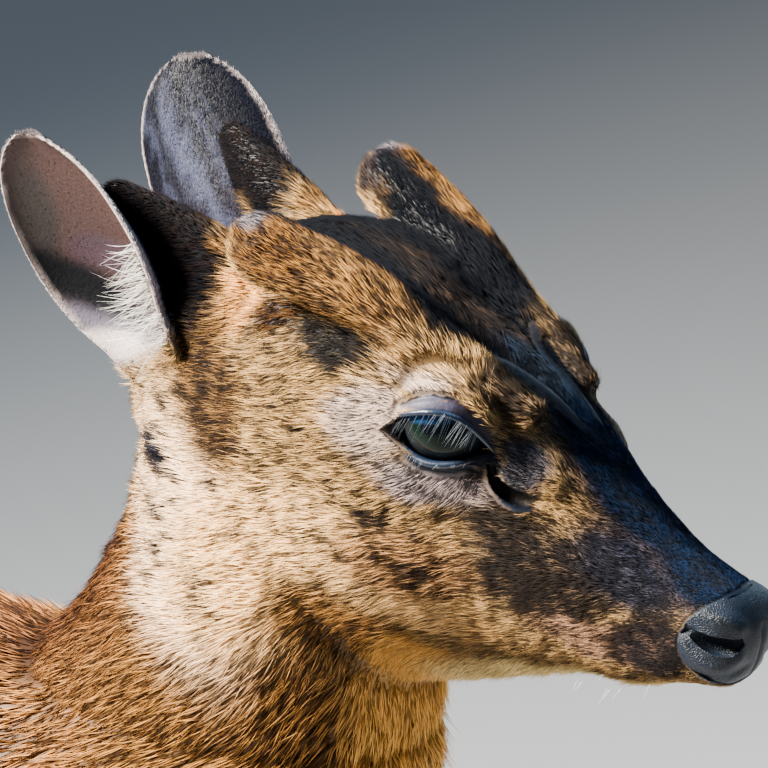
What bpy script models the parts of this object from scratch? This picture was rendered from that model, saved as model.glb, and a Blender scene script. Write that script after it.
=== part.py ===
"""A muntjac buck standing square, life size, head up and ears laid back.

Tables are in millimetres. x is measured back from the nose tip, y to the animal's left, z up from the floor.
The finished part is moved so that the middle of its footprint box is the origin, and it faces +X.
"""

import math

import bmesh
import bpy
import numpy as np
from mathutils import Matrix, Vector

MM = 0.001
GAP = 0.3

NOSE_HEIGHT = 513.0
EYE_CENTRE = (-90.0, 20.7, NOSE_HEIGHT + 46.4)
EYE_RADIUS = 14.2
LID_THICKNESS = 1.7
EYE_GAZE = (0.30, 0.94, 0.10)
FISSURE_INNER_CORNER = (-73.0, 26.2, NOSE_HEIGHT + 39.4)
FISSURE_OUTER_CORNER = (-106.0, 29.2, NOSE_HEIGHT + 45.4)
FISSURE_UPPER = 8.2
FISSURE_LOWER = 6.6
# Along the gaze from the lid corners: reach, and size of the opening there.
LID_OPENING_FLARE = ((-8, 0.95), (4, 1.0), (16, 1.12))

PEDICLE_SEAM = ((-127.0, 28.3, NOSE_HEIGHT + 82.4), (-0.90, 0.30, 0.32))

EAR_ROOT = (-180.0, 33.0, NOSE_HEIGHT + 45.0)
EAR_MIDDLE = (-205.5, 36.0, NOSE_HEIGHT + 79.0)
EAR_TIP = (-218.5, 41.5, NOSE_HEIGHT + 111.0)
EAR_FACING = (-0.11, 0.967, -0.21)
EAR_WALL = 2.2
EAR_SEAM_SHARE = 0.16
EAR_BOWL = 0.7
EAR_LIFT = 0.35
EAR_RIM = 0.45
# Along the ear from root to tip: share of its length, half width, cup depth, how far the cup is open.
EAR_SECTIONS = (
    (0.0, 13.0, 12.0, 0.0),
    (0.14, 17.0, 14.0, 0.0),
    (0.24, 20.5, 14.0, 0.55),
    (0.38, 23.2, 12.6, 1.0),
    (0.52, 23.4, 10.2, 1.0),
    (0.68, 21.6, 7.5, 1.0),
    (0.82, 17.4, 5.4, 1.0),
    (0.92, 11.5, 3.9, 1.0),
    (0.985, 4.8, 2.8, 1.0),
)

HOOF_LENGTH = 34.0
HOOF_HEIGHT = 21.0
TOE_WIDTH = 11.4
TOE_SPACING = 12.2
# Up the hoof wall: height, share of the length, share of the width, shift ahead of the hoof's middle.
HOOF_SECTIONS = (
    (0, 1.0, 0.92, 0),
    (1.5, 1.0, 1.0, 0),
    (9, 0.90, 1.0, -1.6),
    (17, 0.74, 0.94, -4.2),
    (HOOF_HEIGHT, 0.66, 0.86, -5.6),
)
HOOF_POINT = 0.45
FRONT_HOOF_X = -194.0
HIND_HOOF_X = -606.0
FOOT_Y = 47.0
DEWCLAW_FRONT = (-219.0, 6.5, 47.0)
DEWCLAW_HIND = (-633.5, 6.5, 47.0)
DEWCLAW_SIZE = (4.2, 3.6, 6.5)
DEWCLAW_LEAN = -20

HEAD_VOXEL = 1.5
HEAD_SMOOTHING = 12
LID_SMOOTHING = 2
HEAD_TRIANGLES = 2900
BODY_VOXEL = 3.0
TRUNK_SMOOTHING = 16
BODY_SMOOTHING = 4
BODY_TRIANGLES = 3600
# Boxes that hold each part cut from the head or body: lowest and highest corners on the left side.
FRONT_LEG_BOX = ((-262.0, 30.0, HOOF_HEIGHT + GAP), (-176.0, 110.0, 282.0))
HIND_LEG_BOX = ((-740.0, 26.0, HOOF_HEIGHT + GAP), (-474.0, 110.0, 318.0))
NOSE_PAD_CENTRE = (-1.0, 0.0, NOSE_HEIGHT - 8.0)
NOSE_PAD_RADII = (20.0, 34.0, 14.2)

SKIN_COLOUR = {
    "rufous": (0.36, 0.17, 0.07),
    "fawn": (0.50, 0.33, 0.17),
    "dark": (0.05, 0.045, 0.05),
    "cream": (0.72, 0.64, 0.50),
    "horn": (0.06, 0.055, 0.05),
    "eye": (0.02, 0.02, 0.022),
}
# The finish of each node, by the first word of its name.
FINISH_OF = {
    "head": "fawn",
    "nose": "horn",
    "neck": "fawn",
    "torso": "rufous",
    "tail": "rufous",
    "front": "rufous",
    "hind": "rufous",
    "ear": "dark",
    "pedicle": "fawn",
    "eye": "eye",
    "hoof": "horn",
    "dewclaw": "horn",
}
SKIN_ROUGHNESS = {"rufous": 0.8, "fawn": 0.8, "dark": 0.7, "cream": 0.85, "horn": 0.45, "eye": 0.06}

# Upright sections of the head: x, top, bottom, half width, height of the widest place, and how square
# the upper and lower halves are. Heights here are from the nose tip.
HEAD_SECTIONS = (
    (0, -3, -9, 4, -6, 2, 2),
    (-2, 1, -16, 9.5, -7, 2, 2),
    (-5, 4, -21, 13, -8, 2.2, 2.2),
    (-9, 6.5, -23.5, 15, -9, 2.2, 2.2),
    (-15, 9.5, -24, 15.5, -9, 2.1, 2.3),
    (-24, 15, -25.5, 15.5, -9, 2.0, 2.3),
    (-34, 23, -29.5, 17, -8, 1.95, 2.2),
    (-44, 32, -30, 19.5, -4, 1.9, 2.1),
    (-54, 42, -30, 22.5, 4, 1.95, 2.0),
    (-64, 50.5, -33, 25.5, 14, 2.1, 1.9),
    (-74, 57, -36, 28.5, 24, 2.3, 1.8),
    (-85, 63.5, -39, 31.5, 32, 2.5, 1.8),
    (-98, 71, -42, 35, 34, 2.5, 2.0),
    (-110, 79, -44, 38, 32, 2.4, 2.15),
    (-125, 85, -45, 40, 30, 2.3, 2.15),
    (-140, 87, -42, 41, 28, 2.2, 2.1),
    (-155, 84, -30, 40, 28, 2.1, 2),
    (-170, 77, -15, 38, 26, 2.1, 2),
    (-185, 67, 0, 33, 28, 2, 2),
    (-198, 53, 15, 21, 32, 2, 2),
    (-203, 44, 24, 9, 33, 2, 2),
)
# The same for the trunk, with heights from the floor.
TRUNK_SECTIONS = (
    (-104, 392, 352, 14, 370, 2, 2),
    (-110, 416, 326, 30, 368, 2, 2),
    (-122, 436, 304, 43, 366, 2, 2),
    (-148, 450, 280, 54, 366, 2, 2),
    (-185, 456, 262, 63, 362, 2, 2),
    (-225, 458, 252, 70, 355, 2, 2.1),
    (-265, 456, 248, 75, 350, 2, 2.2),
    (-315, 457, 248, 80, 350, 2, 2.3),
    (-370, 463, 255, 82, 352, 2, 2.3),
    (-425, 471, 267, 81, 358, 2, 2.3),
    (-475, 478, 285, 79, 368, 2.1, 2.2),
    (-520, 480, 304, 77, 380, 2.2, 2),
    (-560, 476, 320, 73, 386, 2.2, 2),
    (-600, 462, 332, 64, 386, 2.2, 2),
    (-630, 443, 350, 45, 388, 2, 2),
    (-644, 424, 368, 22, 392, 2, 2),
)
# Limb stations: x, y, z, half depth, half width, from inside the trunk outwards.
NECK_STATIONS = (
    (-212, 0, 350, 80, 58),
    (-192, 0, 402, 74, 54),
    (-179, 0, 428, 67, 50),
    (-169.5, 0, 452, 61, 47),
    (-163, 0, 478, 54, 43),
    (-159, 0, 498, 49, 41),
    (-156, 0, 522, 46.5, 40),
    (-154, 0, 545, 43.5, 39),
    (-152, 0, 570, 34, 34),
)
FRONT_LEG_STATIONS = (
    (-208, 50, 345, 42, 22),
    (-220, 54, 300, 33, 21),
    (-228, 53, 266, 23, 17),
    (-226, 51, 228, 16, 13),
    (-221, 49, 188, 12.5, 10.8),
    (-217, 48, 162, 13, 11.8),
    (-216, 48, 142, 11.5, 10.2),
    (-216, 47.5, 112, 8.8, 8.4),
    (-215, 47, 82, 8.6, 8.2),
    (-214, 47, 63, 10.8, 10.4),
    (-207, 47, 43, 9.8, 10),
    (-200, 47, 26, 12, 11.4),
    (-196, 47, 14, 12, 11.4),
)
HIND_LEG_STATIONS = (
    (-560, 48, 385, 78, 30),
    (-546, 53, 338, 66, 30),
    (-548, 55, 302, 50, 26),
    (-573, 54, 268, 33, 20),
    (-603, 52, 238, 21, 15),
    (-629, 50, 212, 16.5, 12.5),
    (-639, 49.5, 193, 16, 12),
    (-637, 49, 170, 12.5, 11.2),
    (-634, 48, 140, 10.2, 9.6),
    (-631, 47, 100, 9.2, 8.8),
    (-629.5, 47, 77, 9.6, 9),
    (-628, 47, 63, 11.2, 10.8),
    (-620, 47, 43, 10.2, 10.4),
    (-612, 47, 26, 12.4, 11.8),
    (-608, 47, 14, 12.4, 11.8),
)
TAIL_STATIONS = (
    (-628, 0, 440, 13, 16),
    (-644, 0, 430, 13, 18),
    (-655, 0, 408, 12, 20),
    (-660, 0, 378, 11, 20),
    (-661, 0, 345, 9.5, 18),
    (-660, 0, 318, 7, 13),
    (-659, 0, 302, 3.5, 6),
)
# Rounded masses under the coat: centre, radii, and lean in degrees towards the nose. Each has a mirror twin.
MUSCLES = (
    ((-200, 42, 362), (58, 24, 80), 12),
    ((-214, 49, 308), (42, 23, 46), 0),
    ((-575, 40, 392), (58, 32, 60), -12),
)
FACE_MASSES = (
    ((-93, 16.5, NOSE_HEIGHT + 46.5), (21, 14, 16), 20),
    ((-67, 14.0, NOSE_HEIGHT + 32.5), (15, 8.5, 10), 35),
    ((-30, 9, NOSE_HEIGHT - 14), (16, 8.5, 8), 10),
    ((-168, 20, NOSE_HEIGHT + 60), (22, 14, 20), 0),
)
PEDICLE_STATIONS = (
    (-66, 13.5, NOSE_HEIGHT + 46.5, 6, 5),
    (-82, 17, NOSE_HEIGHT + 58, 7, 6),
    (-96, 19.5, NOSE_HEIGHT + 66, 8, 7.5),
    (-110, 23, NOSE_HEIGHT + 74, 10, 9.5),
    (-126, 28, NOSE_HEIGHT + 82, 10.4, 10.4),
    (-143.5, 33, NOSE_HEIGHT + 88.5, 10.8, 10.8),
)
# The cone of muscle from the crown up the front of each ear.
EAR_BASE_STATIONS = (
    (-150, 16, NOSE_HEIGHT + 66, 12, 11),
    (-162, 19.5, NOSE_HEIGHT + 70, 13, 11),
    (-172, 22, NOSE_HEIGHT + 75.5, 13, 9.5),
    (-182, 24.5, NOSE_HEIGHT + 82.5, 11.2, 7.2),
    (-190, 27, NOSE_HEIGHT + 88.5, 8.6, 4.8),
    (-197, 29.6, NOSE_HEIGHT + 94.5, 5.5, 3),
)
# Slits of the face: points on the right-hand side mirrored to both, and the slit's radius.
PREORBITAL_SLIT = ((-73.5, 27, 36), (-71.5, 27, 31.5), (-66, 25.5, 28), (-59, 23.5, 28.5), (-57, 21.5, 31.5))
FRONTAL_SLIT = ((-81, 13.5, 64.5), (-68, 10.5, 56), (-55, 7.5, 46.5))
MOUTH_LINE = (
    (-5, 0, -20.5),
    (-9, 9, -20.6),
    (-17, 13.5, -21),
    (-33, 16.5, -21),
    (-46, 18.5, -19.5),
    (-64, 22.5, -15),
)
NOSTRIL_PATH = ((-17, 14.8, -2.5), (-15, 13.5, -5.5), (-11, 12.2, -8), (-5.5, 10, -7.5), (-3, 7.5, -5.5))
NOSTRIL_RADII = (2.0, 2.9, 3.3, 3.0, 1.8)
PREORBITAL_RADII = (1.2, 1.7, 1.8, 1.6, 1.0)
FRONTAL_RADII = (0.9, 1.3, 0.9)
MOUTH_RADII = (0.9,) * len(MOUTH_LINE)

SEAMS = {
    "head": ((-152, 0, NOSE_HEIGHT), (0.687, 0, 0.727)),
    "neck": ((-178, 0, 428), (0.42, 0, 0.907)),
}


def clear_scene():
    for old in list(bpy.data.objects):
        bpy.data.objects.remove(old)


def collection(name):
    made = bpy.data.collections.new(name)
    bpy.context.scene.collection.children.link(made)
    return made


def material(name):
    made = bpy.data.materials.new(name)
    made.use_nodes = True
    shader = made.node_tree.nodes["Principled BSDF"]
    shader.inputs["Base Color"].default_value = (*SKIN_COLOUR[name], 1)
    shader.inputs["Roughness"].default_value = SKIN_ROUGHNESS[name]
    shader.inputs["Metallic"].default_value = 0
    return made


def smooth_rows(rows, steps):
    """Rows of numbers read along one smooth curve through the given rows."""
    rows = np.array(rows, float)
    padded = np.vstack([2 * rows[0] - rows[1], rows, 2 * rows[-1] - rows[-2]])
    made = []
    for i in range(len(rows) - 1):
        before, start, end, after = padded[i : i + 4]
        for t in np.arange(steps) / steps:
            made.append(
                0.5
                * (
                    2 * start
                    + (end - before) * t
                    + (2 * before - 5 * start + 4 * end - after) * t**2
                    + (3 * start - before - 3 * end + after) * t**3
                )
            )
    made.append(rows[-1])
    return np.array(made)


def mesh_object(name, points, faces, home):
    """A mesh object from points in millimetres, with its faces turned outwards."""
    mesh = bpy.data.meshes.new(name)
    mesh.from_pydata([tuple(p) for p in np.asarray(points) * MM], [], faces)
    work = bmesh.new()
    work.from_mesh(mesh)
    bmesh.ops.recalc_face_normals(work, faces=work.faces)
    work.to_mesh(mesh)
    work.free()
    made = bpy.data.objects.new(name, mesh)
    home.objects.link(made)
    return made


def loft(name, rings, home):
    """A closed tube through rings of points, with a fan over each end."""
    rings = np.array(rings, float)
    count, around = rings.shape[:2]
    points = list(rings.reshape(-1, 3))
    faces = []
    for i in range(count - 1):
        for j in range(around):
            k = (j + 1) % around
            faces.append((i * around + j, i * around + k, (i + 1) * around + k, (i + 1) * around + j))
    for ring, first in ((0, 0), (count - 1, (count - 1) * around)):
        points.append(rings[ring].mean(axis=0))
        centre = len(points) - 1
        for j in range(around):
            faces.append((first + j, first + (j + 1) % around, centre))
    return mesh_object(name, points, faces, home)


def squared(angle, power):
    """Cosine and sine of an angle, pushed out towards a square as the power grows past 2."""
    c, s = math.cos(angle), math.sin(angle)
    return (
        math.copysign(abs(c) ** (2 / power), c),
        math.copysign(abs(s) ** (2 / power), s),
    )


def upright_loft(name, sections, base_height, home, around=48, steps=4):
    """A tube whose sections stand upright across x."""
    rings = []
    for x, top, bottom, half, widest, upper, lower in smooth_rows(sections, steps):
        ring = []
        for j in range(around):
            angle = 2 * math.pi * j / around
            rising = math.sin(angle) >= 0
            across, up = squared(angle, upper if rising else lower)
            reach = top - widest if rising else widest - bottom
            ring.append((x, half * across, base_height + widest + reach * up))
        rings.append(ring)
    return loft(name, rings, home)


def limb(name, stations, home, side=1, around=20, steps=5, round_end=False):
    """A tube along a path, oval across it: half depth fore and aft, half width sideways."""
    rows = smooth_rows(stations, steps)
    path = rows[:, :3]
    along = np.gradient(path, axis=0)
    along /= np.linalg.norm(along, axis=1)[:, None]
    rings = []
    for row, way in zip(rows, along):
        sideways = np.array((0, 1, 0)) - way * way[1]
        sideways /= np.linalg.norm(sideways)
        fore = np.cross(sideways, way)
        rings.append(
            [
                row[:3] + fore * row[3] * math.cos(a) + sideways * row[4] * math.sin(a)
                for a in 2 * math.pi * np.arange(around) / around
            ]
        )
    if round_end:
        last, way = np.array(rings[-1]), along[-1]
        middle = last.mean(axis=0)
        size = min(rows[-1][3:5])
        for turn in (30, 55, 75):
            shrink = math.cos(math.radians(turn))
            rings.append(middle + (last - middle) * shrink + way * size * math.sin(math.radians(turn)))
    rings = np.array([np.array(ring) for ring in rings])
    rings[:, :, 1] *= side
    return loft(name, rings, home)


def ball(name, centre, radii, home, side=1, lean=0.0, rings=16):
    """A sphere stretched to three radii and leaned about the cross axis."""
    bpy.ops.mesh.primitive_uv_sphere_add(segments=2 * rings, ring_count=rings, radius=1)
    made = bpy.context.object
    made.name = name
    turn = Matrix.Rotation(math.radians(lean), 4, "Y")
    place = Matrix.Translation(Vector((centre[0], centre[1] * side, centre[2])) * MM)
    made.data.transform(place @ turn @ Matrix.Diagonal((*[r * MM for r in radii], 1)))
    move_home(made, home)
    return made


def move_home(made, home):
    for old in list(made.users_collection):
        old.objects.unlink(made)
    home.objects.link(made)


def tube(name, path, radii, home, side=1, around=8, steps=3):
    """A rounded tube of changing radius, for cutting a slit."""
    rows = smooth_rows([(*p, r) for p, r in zip(path, radii)], steps)
    along = np.gradient(rows[:, :3], axis=0)
    along /= np.linalg.norm(along, axis=1)[:, None]
    rings = []
    for row, way in zip(rows, along):
        first = np.cross(way, (0.1, 0.2, 1.0))
        first /= np.linalg.norm(first)
        second = np.cross(way, first)
        rings.append(
            [
                row[:3] + row[3] * (first * math.cos(a) + second * math.sin(a))
                for a in 2 * math.pi * np.arange(around) / around
            ]
        )
    rings = np.array(rings)
    rings[:, :, 1] *= side
    rings[:, :, 2] += NOSE_HEIGHT
    return loft(name, rings, home)


def applied(obj, kind, **settings):
    """Puts one modifier on an object and applies it."""
    modifier = obj.modifiers.new(kind.title(), kind)
    for key, value in settings.items():
        setattr(modifier, key, value)
    graph = bpy.context.evaluated_depsgraph_get()
    graph.update()
    mesh = bpy.data.meshes.new_from_object(obj.evaluated_get(graph))
    obj.modifiers.clear()
    old = obj.data
    obj.data = mesh
    bpy.data.meshes.remove(old)
    return obj


def joined(name, objects, home):
    """One object that holds the meshes of several, which are removed."""
    work = bmesh.new()
    for piece in objects:
        work.from_mesh(piece.data)
    mesh = bpy.data.meshes.new(name)
    work.to_mesh(mesh)
    work.free()
    for piece in objects:
        bpy.data.objects.remove(piece)
    made = bpy.data.objects.new(name, mesh)
    home.objects.link(made)
    return made


def fused(name, objects, home, voxel, rounds):
    """One smooth skin over overlapping shapes."""
    made = joined(name, objects, home)
    applied(made, "REMESH", mode="VOXEL", voxel_size=voxel * MM)
    return applied(made, "SMOOTH", factor=0.5, iterations=rounds)


def thinned(obj, triangles):
    """Thins a dense skin to about so many triangles."""
    applied(obj, "TRIANGULATE")
    return applied(obj, "DECIMATE", ratio=triangles / len(obj.data.polygons))


def boolean(obj, other, operation, solver="EXACT"):
    return applied(obj, "BOOLEAN", object=other, operation=operation, solver=solver)


def largest_body(obj):
    """Keeps only the largest closed surface of an object."""
    work = bmesh.new()
    work.from_mesh(obj.data)
    bmesh.ops.triangulate(work, faces=work.faces)
    left = set(work.verts)
    islands = []
    while left:
        stack = [left.pop()]
        found = set(stack)
        while stack:
            for edge in stack.pop().link_edges:
                for vert in edge.verts:
                    if vert not in found:
                        found.add(vert)
                        left.discard(vert)
                        stack.append(vert)
        islands.append(found)
    keep = max(islands, key=len)
    bmesh.ops.delete(work, geom=[v for v in work.verts if v not in keep], context="VERTS")
    work.to_mesh(obj.data)
    work.free()


def half_space(name, point, normal, offset, home):
    """A large box that fills one side of a plane, moved by offset along the normal."""
    size = 1600.0
    bpy.ops.mesh.primitive_cube_add(size=1)
    made = bpy.context.object
    made.name = name
    way = Vector(normal).normalized()
    turn = way.to_track_quat("Z", "Y").to_matrix().to_4x4()
    centre = Vector(point) + way * (offset + size / 2)
    made.data.transform(Matrix.Translation(centre * MM) @ turn @ Matrix.Scale(size * MM, 4))
    move_home(made, home)
    return made


def oriented_box(name, centre, axes, sizes, home):
    """A box with its sides along three given axes."""
    bpy.ops.mesh.primitive_cube_add(size=1)
    made = bpy.context.object
    made.name = name
    turn = Matrix([list(a) for a in axes]).transposed().to_4x4()
    stretch = Matrix.Diagonal((*[s * MM for s in sizes], 1))
    made.data.transform(Matrix.Translation(Vector(centre) * MM) @ turn @ stretch)
    move_home(made, home)
    return made


def copy_of(obj, name, home):
    made = bpy.data.objects.new(name, obj.data.copy())
    home.objects.link(made)
    return made


def keep_side(obj, point, normal, offset, home):
    """Cuts an object back to the side of a plane that the normal points to."""
    box = half_space("side", point, normal, offset, home)
    boolean(obj, box, "INTERSECT")
    bpy.data.objects.remove(box)
    largest_body(obj)


def ear(name, home, side):
    """A pointed cup: a back wall that bulges towards the crown, open to the side of the head."""
    root, middle, tip = (np.array(p) for p in (EAR_ROOT, EAR_MIDDLE, EAR_TIP))
    bend = 2 * middle - (root + tip) / 2
    rows = smooth_rows(EAR_SECTIONS, 2)
    rings = []
    arc = np.linspace(-1, 1, 9)
    for share, half, depth, opened in rows:
        centre = root * (1 - share) ** 2 + 2 * bend * share * (1 - share) + tip * share**2
        along = tip - root + (2 * share - 1) * 2 * (root + tip - 2 * middle)
        along /= np.linalg.norm(along)
        facing = np.array(EAR_FACING) - along * np.dot(along, EAR_FACING)
        facing /= np.linalg.norm(facing)
        across = np.cross(along, facing)
        wall = min(EAR_WALL, depth * 0.8)
        inner_depth = (depth - wall) * opened
        inner_half = half - wall * EAR_RIM
        floor = centre + facing * wall * EAR_LIFT
        back = [centre + across * half * s - facing * depth * (1 - s * s) ** EAR_BOWL for s in arc]
        inside = [floor + across * inner_half * s - facing * inner_depth * (1 - s * s) ** EAR_BOWL for s in arc]
        rings.append(back + inside[::-1])
    rings = np.array(rings)
    rings[:, :, 1] *= side
    return loft(name, rings, home)


def almond(name, home, side):
    """The opening between the lids, a flared prism along the gaze."""
    gaze = np.array(EYE_GAZE) / np.linalg.norm(EYE_GAZE)
    inner, outer = np.array(FISSURE_INNER_CORNER), np.array(FISSURE_OUTER_CORNER)
    up = np.cross(outer - inner, gaze)
    up *= np.sign(up[2]) / np.linalg.norm(up)
    outline = []
    for t in np.linspace(0, 1, 9)[:-1]:
        outline.append(inner + (outer - inner) * t + up * FISSURE_UPPER * math.sin(math.pi * t) ** 0.8)
    for t in np.linspace(1, 0, 9)[:-1]:
        outline.append(inner + (outer - inner) * t - up * FISSURE_LOWER * math.sin(math.pi * t) ** 0.8)
    outline = np.array(outline)
    middle = outline.mean(axis=0)
    rings = []
    for reach, size in LID_OPENING_FLARE:
        rings.append(middle + (outline - middle) * size + gaze * reach)
    rings = np.array(rings)
    rings[:, :, 1] *= side
    return loft(name, rings, home)


def side_name(side):
    return "left" if side > 0 else "right"


def make_head(home):
    """The whole head with its neck stub, before the nose, pedicles, ears and eyes are parted from it."""
    pieces = [
        upright_loft("head_form", HEAD_SECTIONS, NOSE_HEIGHT, home),
        limb("neck_form", NECK_STATIONS, home, around=32),
    ]
    for side in (1, -1):
        for centre, radii, lean in FACE_MASSES:
            pieces.append(ball("mass", centre, radii, home, side, lean))
        pieces.append(limb("pedicle_form", PEDICLE_STATIONS[:-1], home, side, around=24))
        pieces.append(limb("ear_base_form", EAR_BASE_STATIONS, home, side, around=24, round_end=True))
    pieces = [fused("head_core", pieces, home, HEAD_VOXEL, HEAD_SMOOTHING)]
    for side in (1, -1):
        pieces.append(ball("lid_dome", EYE_CENTRE, [EYE_RADIUS + GAP + LID_THICKNESS] * 3, home, side))
    head = thinned(fused("head", pieces, home, HEAD_VOXEL, LID_SMOOTHING), HEAD_TRIANGLES)
    keep_side(head, *SEAMS["head"], GAP / 2, home)
    return head


def cut(obj, cutters):
    for cutter in cutters:
        boolean(obj, cutter, "DIFFERENCE")
        bpy.data.objects.remove(cutter)
    largest_body(obj)


def add_face_details(head, home):
    """Sockets, lid openings, the mouth, nostrils and gland slits are cut into the head."""
    cutters = []
    for side in (1, -1):
        cutters.append(ball("socket", EYE_CENTRE, [EYE_RADIUS + GAP] * 3, home, side, rings=10))
        cutters.append(almond("lid_opening", home, side))
        cutters.append(tube("nostril", NOSTRIL_PATH, NOSTRIL_RADII, home, side))
        cutters.append(tube("preorbital_slit", PREORBITAL_SLIT, PREORBITAL_RADII, home, side))
        cutters.append(tube("frontal_slit", FRONTAL_SLIT, FRONTAL_RADII, home, side))
        cutters.append(tube("mouth_line", MOUTH_LINE, MOUTH_RADII, home, side))
    cut(head, cutters)


def corner_box(name, low, high, home, side=1, grow=0.0):
    """An upright box between two corners, mirrored to the right for side -1."""
    low, high = np.array(low) - grow, np.array(high) + grow
    if side < 0:
        low[1], high[1] = -high[1], -low[1]
    return oriented_box(name, (low + high) / 2, np.eye(3), high - low, home)


def part_by_box(obj, name, low, high, home, side=1):
    """Parts what lies in a box from an object, as a node of its own."""
    piece = copy_of(obj, name, home)
    box = corner_box("box", low, high, home, side)
    boolean(piece, box, "INTERSECT")
    bpy.data.objects.remove(box)
    cut(obj, [corner_box("grown_box", low, high, home, side, GAP)])
    largest_body(piece)


def clear_of(piece, other, home):
    """Cuts a node back until it is the gap away from another node's surface."""
    swollen = copy_of(other, "swollen", home)
    applied(swollen, "DISPLACE", strength=GAP * MM, mid_level=0.0)
    cut(piece, [swollen])


def make_ears(head, home):
    for side in (1, -1):
        whole = ear("ear_" + side_name(side), home, side)
        root, tip = np.array(EAR_ROOT), np.array(EAR_TIP)
        seam = root + (tip - root) * EAR_SEAM_SHARE
        way = (np.array(EAR_MIDDLE) - root) * (1, side, 1)
        seam[1] *= side
        base = copy_of(whole, "ear_base", home)
        keep_side(base, seam, -way, 0, home)
        boolean(head, base, "UNION")
        bpy.data.objects.remove(base)
        keep_side(whole, seam, way, GAP, home)
        clear_of(whole, head, home)


def make_pedicles(head, home):
    for side in (1, -1):
        point, way = (np.array(v) * (1, side, 1) for v in PEDICLE_SEAM)
        name = "pedicle_" + side_name(side)
        stub = limb(name, PEDICLE_STATIONS[-3:], home, side, around=18, steps=3, round_end=True)
        keep_side(stub, point, way, GAP / 2, home)
        clear_of(stub, head, home)


def make_nose_pad(head, home):
    """The bare pad round the nostrils is parted from the head by an egg-shaped seam."""
    pad = copy_of(head, "nose", home)
    inside = ball("inside", NOSE_PAD_CENTRE, NOSE_PAD_RADII, home, rings=10)
    boolean(pad, inside, "INTERSECT")
    bpy.data.objects.remove(inside)
    largest_body(pad)
    cut(head, [ball("outside", NOSE_PAD_CENTRE, [r + GAP for r in NOSE_PAD_RADII], home, rings=10)])


def make_eyes(home):
    for side in (1, -1):
        ball("eye_" + side_name(side), EYE_CENTRE, [EYE_RADIUS] * 3, home, side, rings=10)


def make_body(home):
    """Trunk, neck, legs and tail as one skin, then parted."""
    pieces = [
        upright_loft("trunk_form", TRUNK_SECTIONS, 0, home),
        limb("neck_form", NECK_STATIONS, home, around=32),
    ]
    for side in (1, -1):
        pieces.append(limb("haunch_form", HIND_LEG_STATIONS[:5], home, side))
        for centre, radii, lean in MUSCLES:
            pieces.append(ball("muscle", centre, radii, home, side, lean))
    pieces = [fused("trunk_core", pieces, home, BODY_VOXEL, TRUNK_SMOOTHING)]
    for side in (1, -1):
        pieces.append(limb("front_leg_form", FRONT_LEG_STATIONS[1:], home, side))
        pieces.append(limb("hind_leg_form", HIND_LEG_STATIONS[2:], home, side))
    body = thinned(fused("torso", pieces, home, BODY_VOXEL, BODY_SMOOTHING), BODY_TRIANGLES)
    keep_side(body, SEAMS["head"][0], -np.array(SEAMS["head"][1]), GAP / 2, home)
    for side in (1, -1):
        part_by_box(body, "front_leg_" + side_name(side), *FRONT_LEG_BOX, home, side)
        part_by_box(body, "hind_leg_" + side_name(side), *HIND_LEG_BOX, home, side)
    neck = copy_of(body, "neck", home)
    point, way = SEAMS["neck"]
    keep_side(neck, point, way, GAP / 2, home)
    keep_side(body, point, -np.array(way), GAP / 2, home)
    clear_of(limb("tail", TAIL_STATIONS, home, around=14, steps=3, round_end=True), body, home)


def hoof(name, x, side, toe, home):
    """One toe: a pointed sole that stands flat, with walls that slope in to the coronet."""
    rings = []
    for height, length, width, shift in HOOF_SECTIONS:
        ring = []
        for angle in 2 * math.pi * np.arange(20) / 20:
            c, s = math.cos(angle), math.sin(angle)
            taper = 1.0 if c < 0 else 1 - HOOF_POINT * c**2
            ahead = HOOF_LENGTH / 2 * length * c
            across = TOE_WIDTH / 2 * width * math.copysign(abs(s) ** 0.8, s) * taper
            ring.append((x + shift + ahead, side * (FOOT_Y + toe * TOE_SPACING / 2) + across, height))
        rings.append(ring)
    return loft(name, rings, home)


def make_feet(home):
    for end, x, dewclaw in (("front", FRONT_HOOF_X, DEWCLAW_FRONT), ("hind", HIND_HOOF_X, DEWCLAW_HIND)):
        for side in (1, -1):
            leg = bpy.data.objects[end + "_leg_" + side_name(side)]
            for toe, place in ((1, "outer"), (-1, "inner")):
                hoof("_".join(("hoof", end, side_name(side), place)), x, side, toe, home)
                centre = (dewclaw[0], FOOT_Y + toe * dewclaw[1], dewclaw[2])
                name = "_".join(("dewclaw", end, side_name(side), place))
                claw = ball(name, centre, DEWCLAW_SIZE, home, side, DEWCLAW_LEAN, 5)
                clear_of(claw, leg, home)


def finish(home):
    """Moves everything so that the middle of the footprint box is the origin, and sets the materials."""
    corners = np.array([v.co[:] for obj in home.objects for v in obj.data.vertices])
    low, high = corners.min(axis=0), corners.max(axis=0)
    shift = Vector((-(low[0] + high[0]) / 2, -(low[1] + high[1]) / 2, -low[2]))
    finishes = {name: material(name) for name in SKIN_COLOUR}
    for obj in home.objects:
        obj.data.transform(Matrix.Translation(shift))
        obj.data.name = obj.name
        obj.data.materials.clear()
        obj.data.materials.append(finishes[FINISH_OF[obj.name.split("_")[0]]])
        obj.data.shade_smooth()
        obj.data.set_sharp_from_angle(angle=math.radians(50))


def main():
    clear_scene()
    home = collection("muntjac")
    head = make_head(home)
    add_face_details(head, home)
    make_ears(head, home)
    make_pedicles(head, home)
    make_nose_pad(head, home)
    make_eyes(home)
    make_body(home)
    make_feet(home)
    finish(home)


main()
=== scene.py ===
import math

import bmesh
import bpy
import numpy as np
from mathutils import Matrix, Vector


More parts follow.
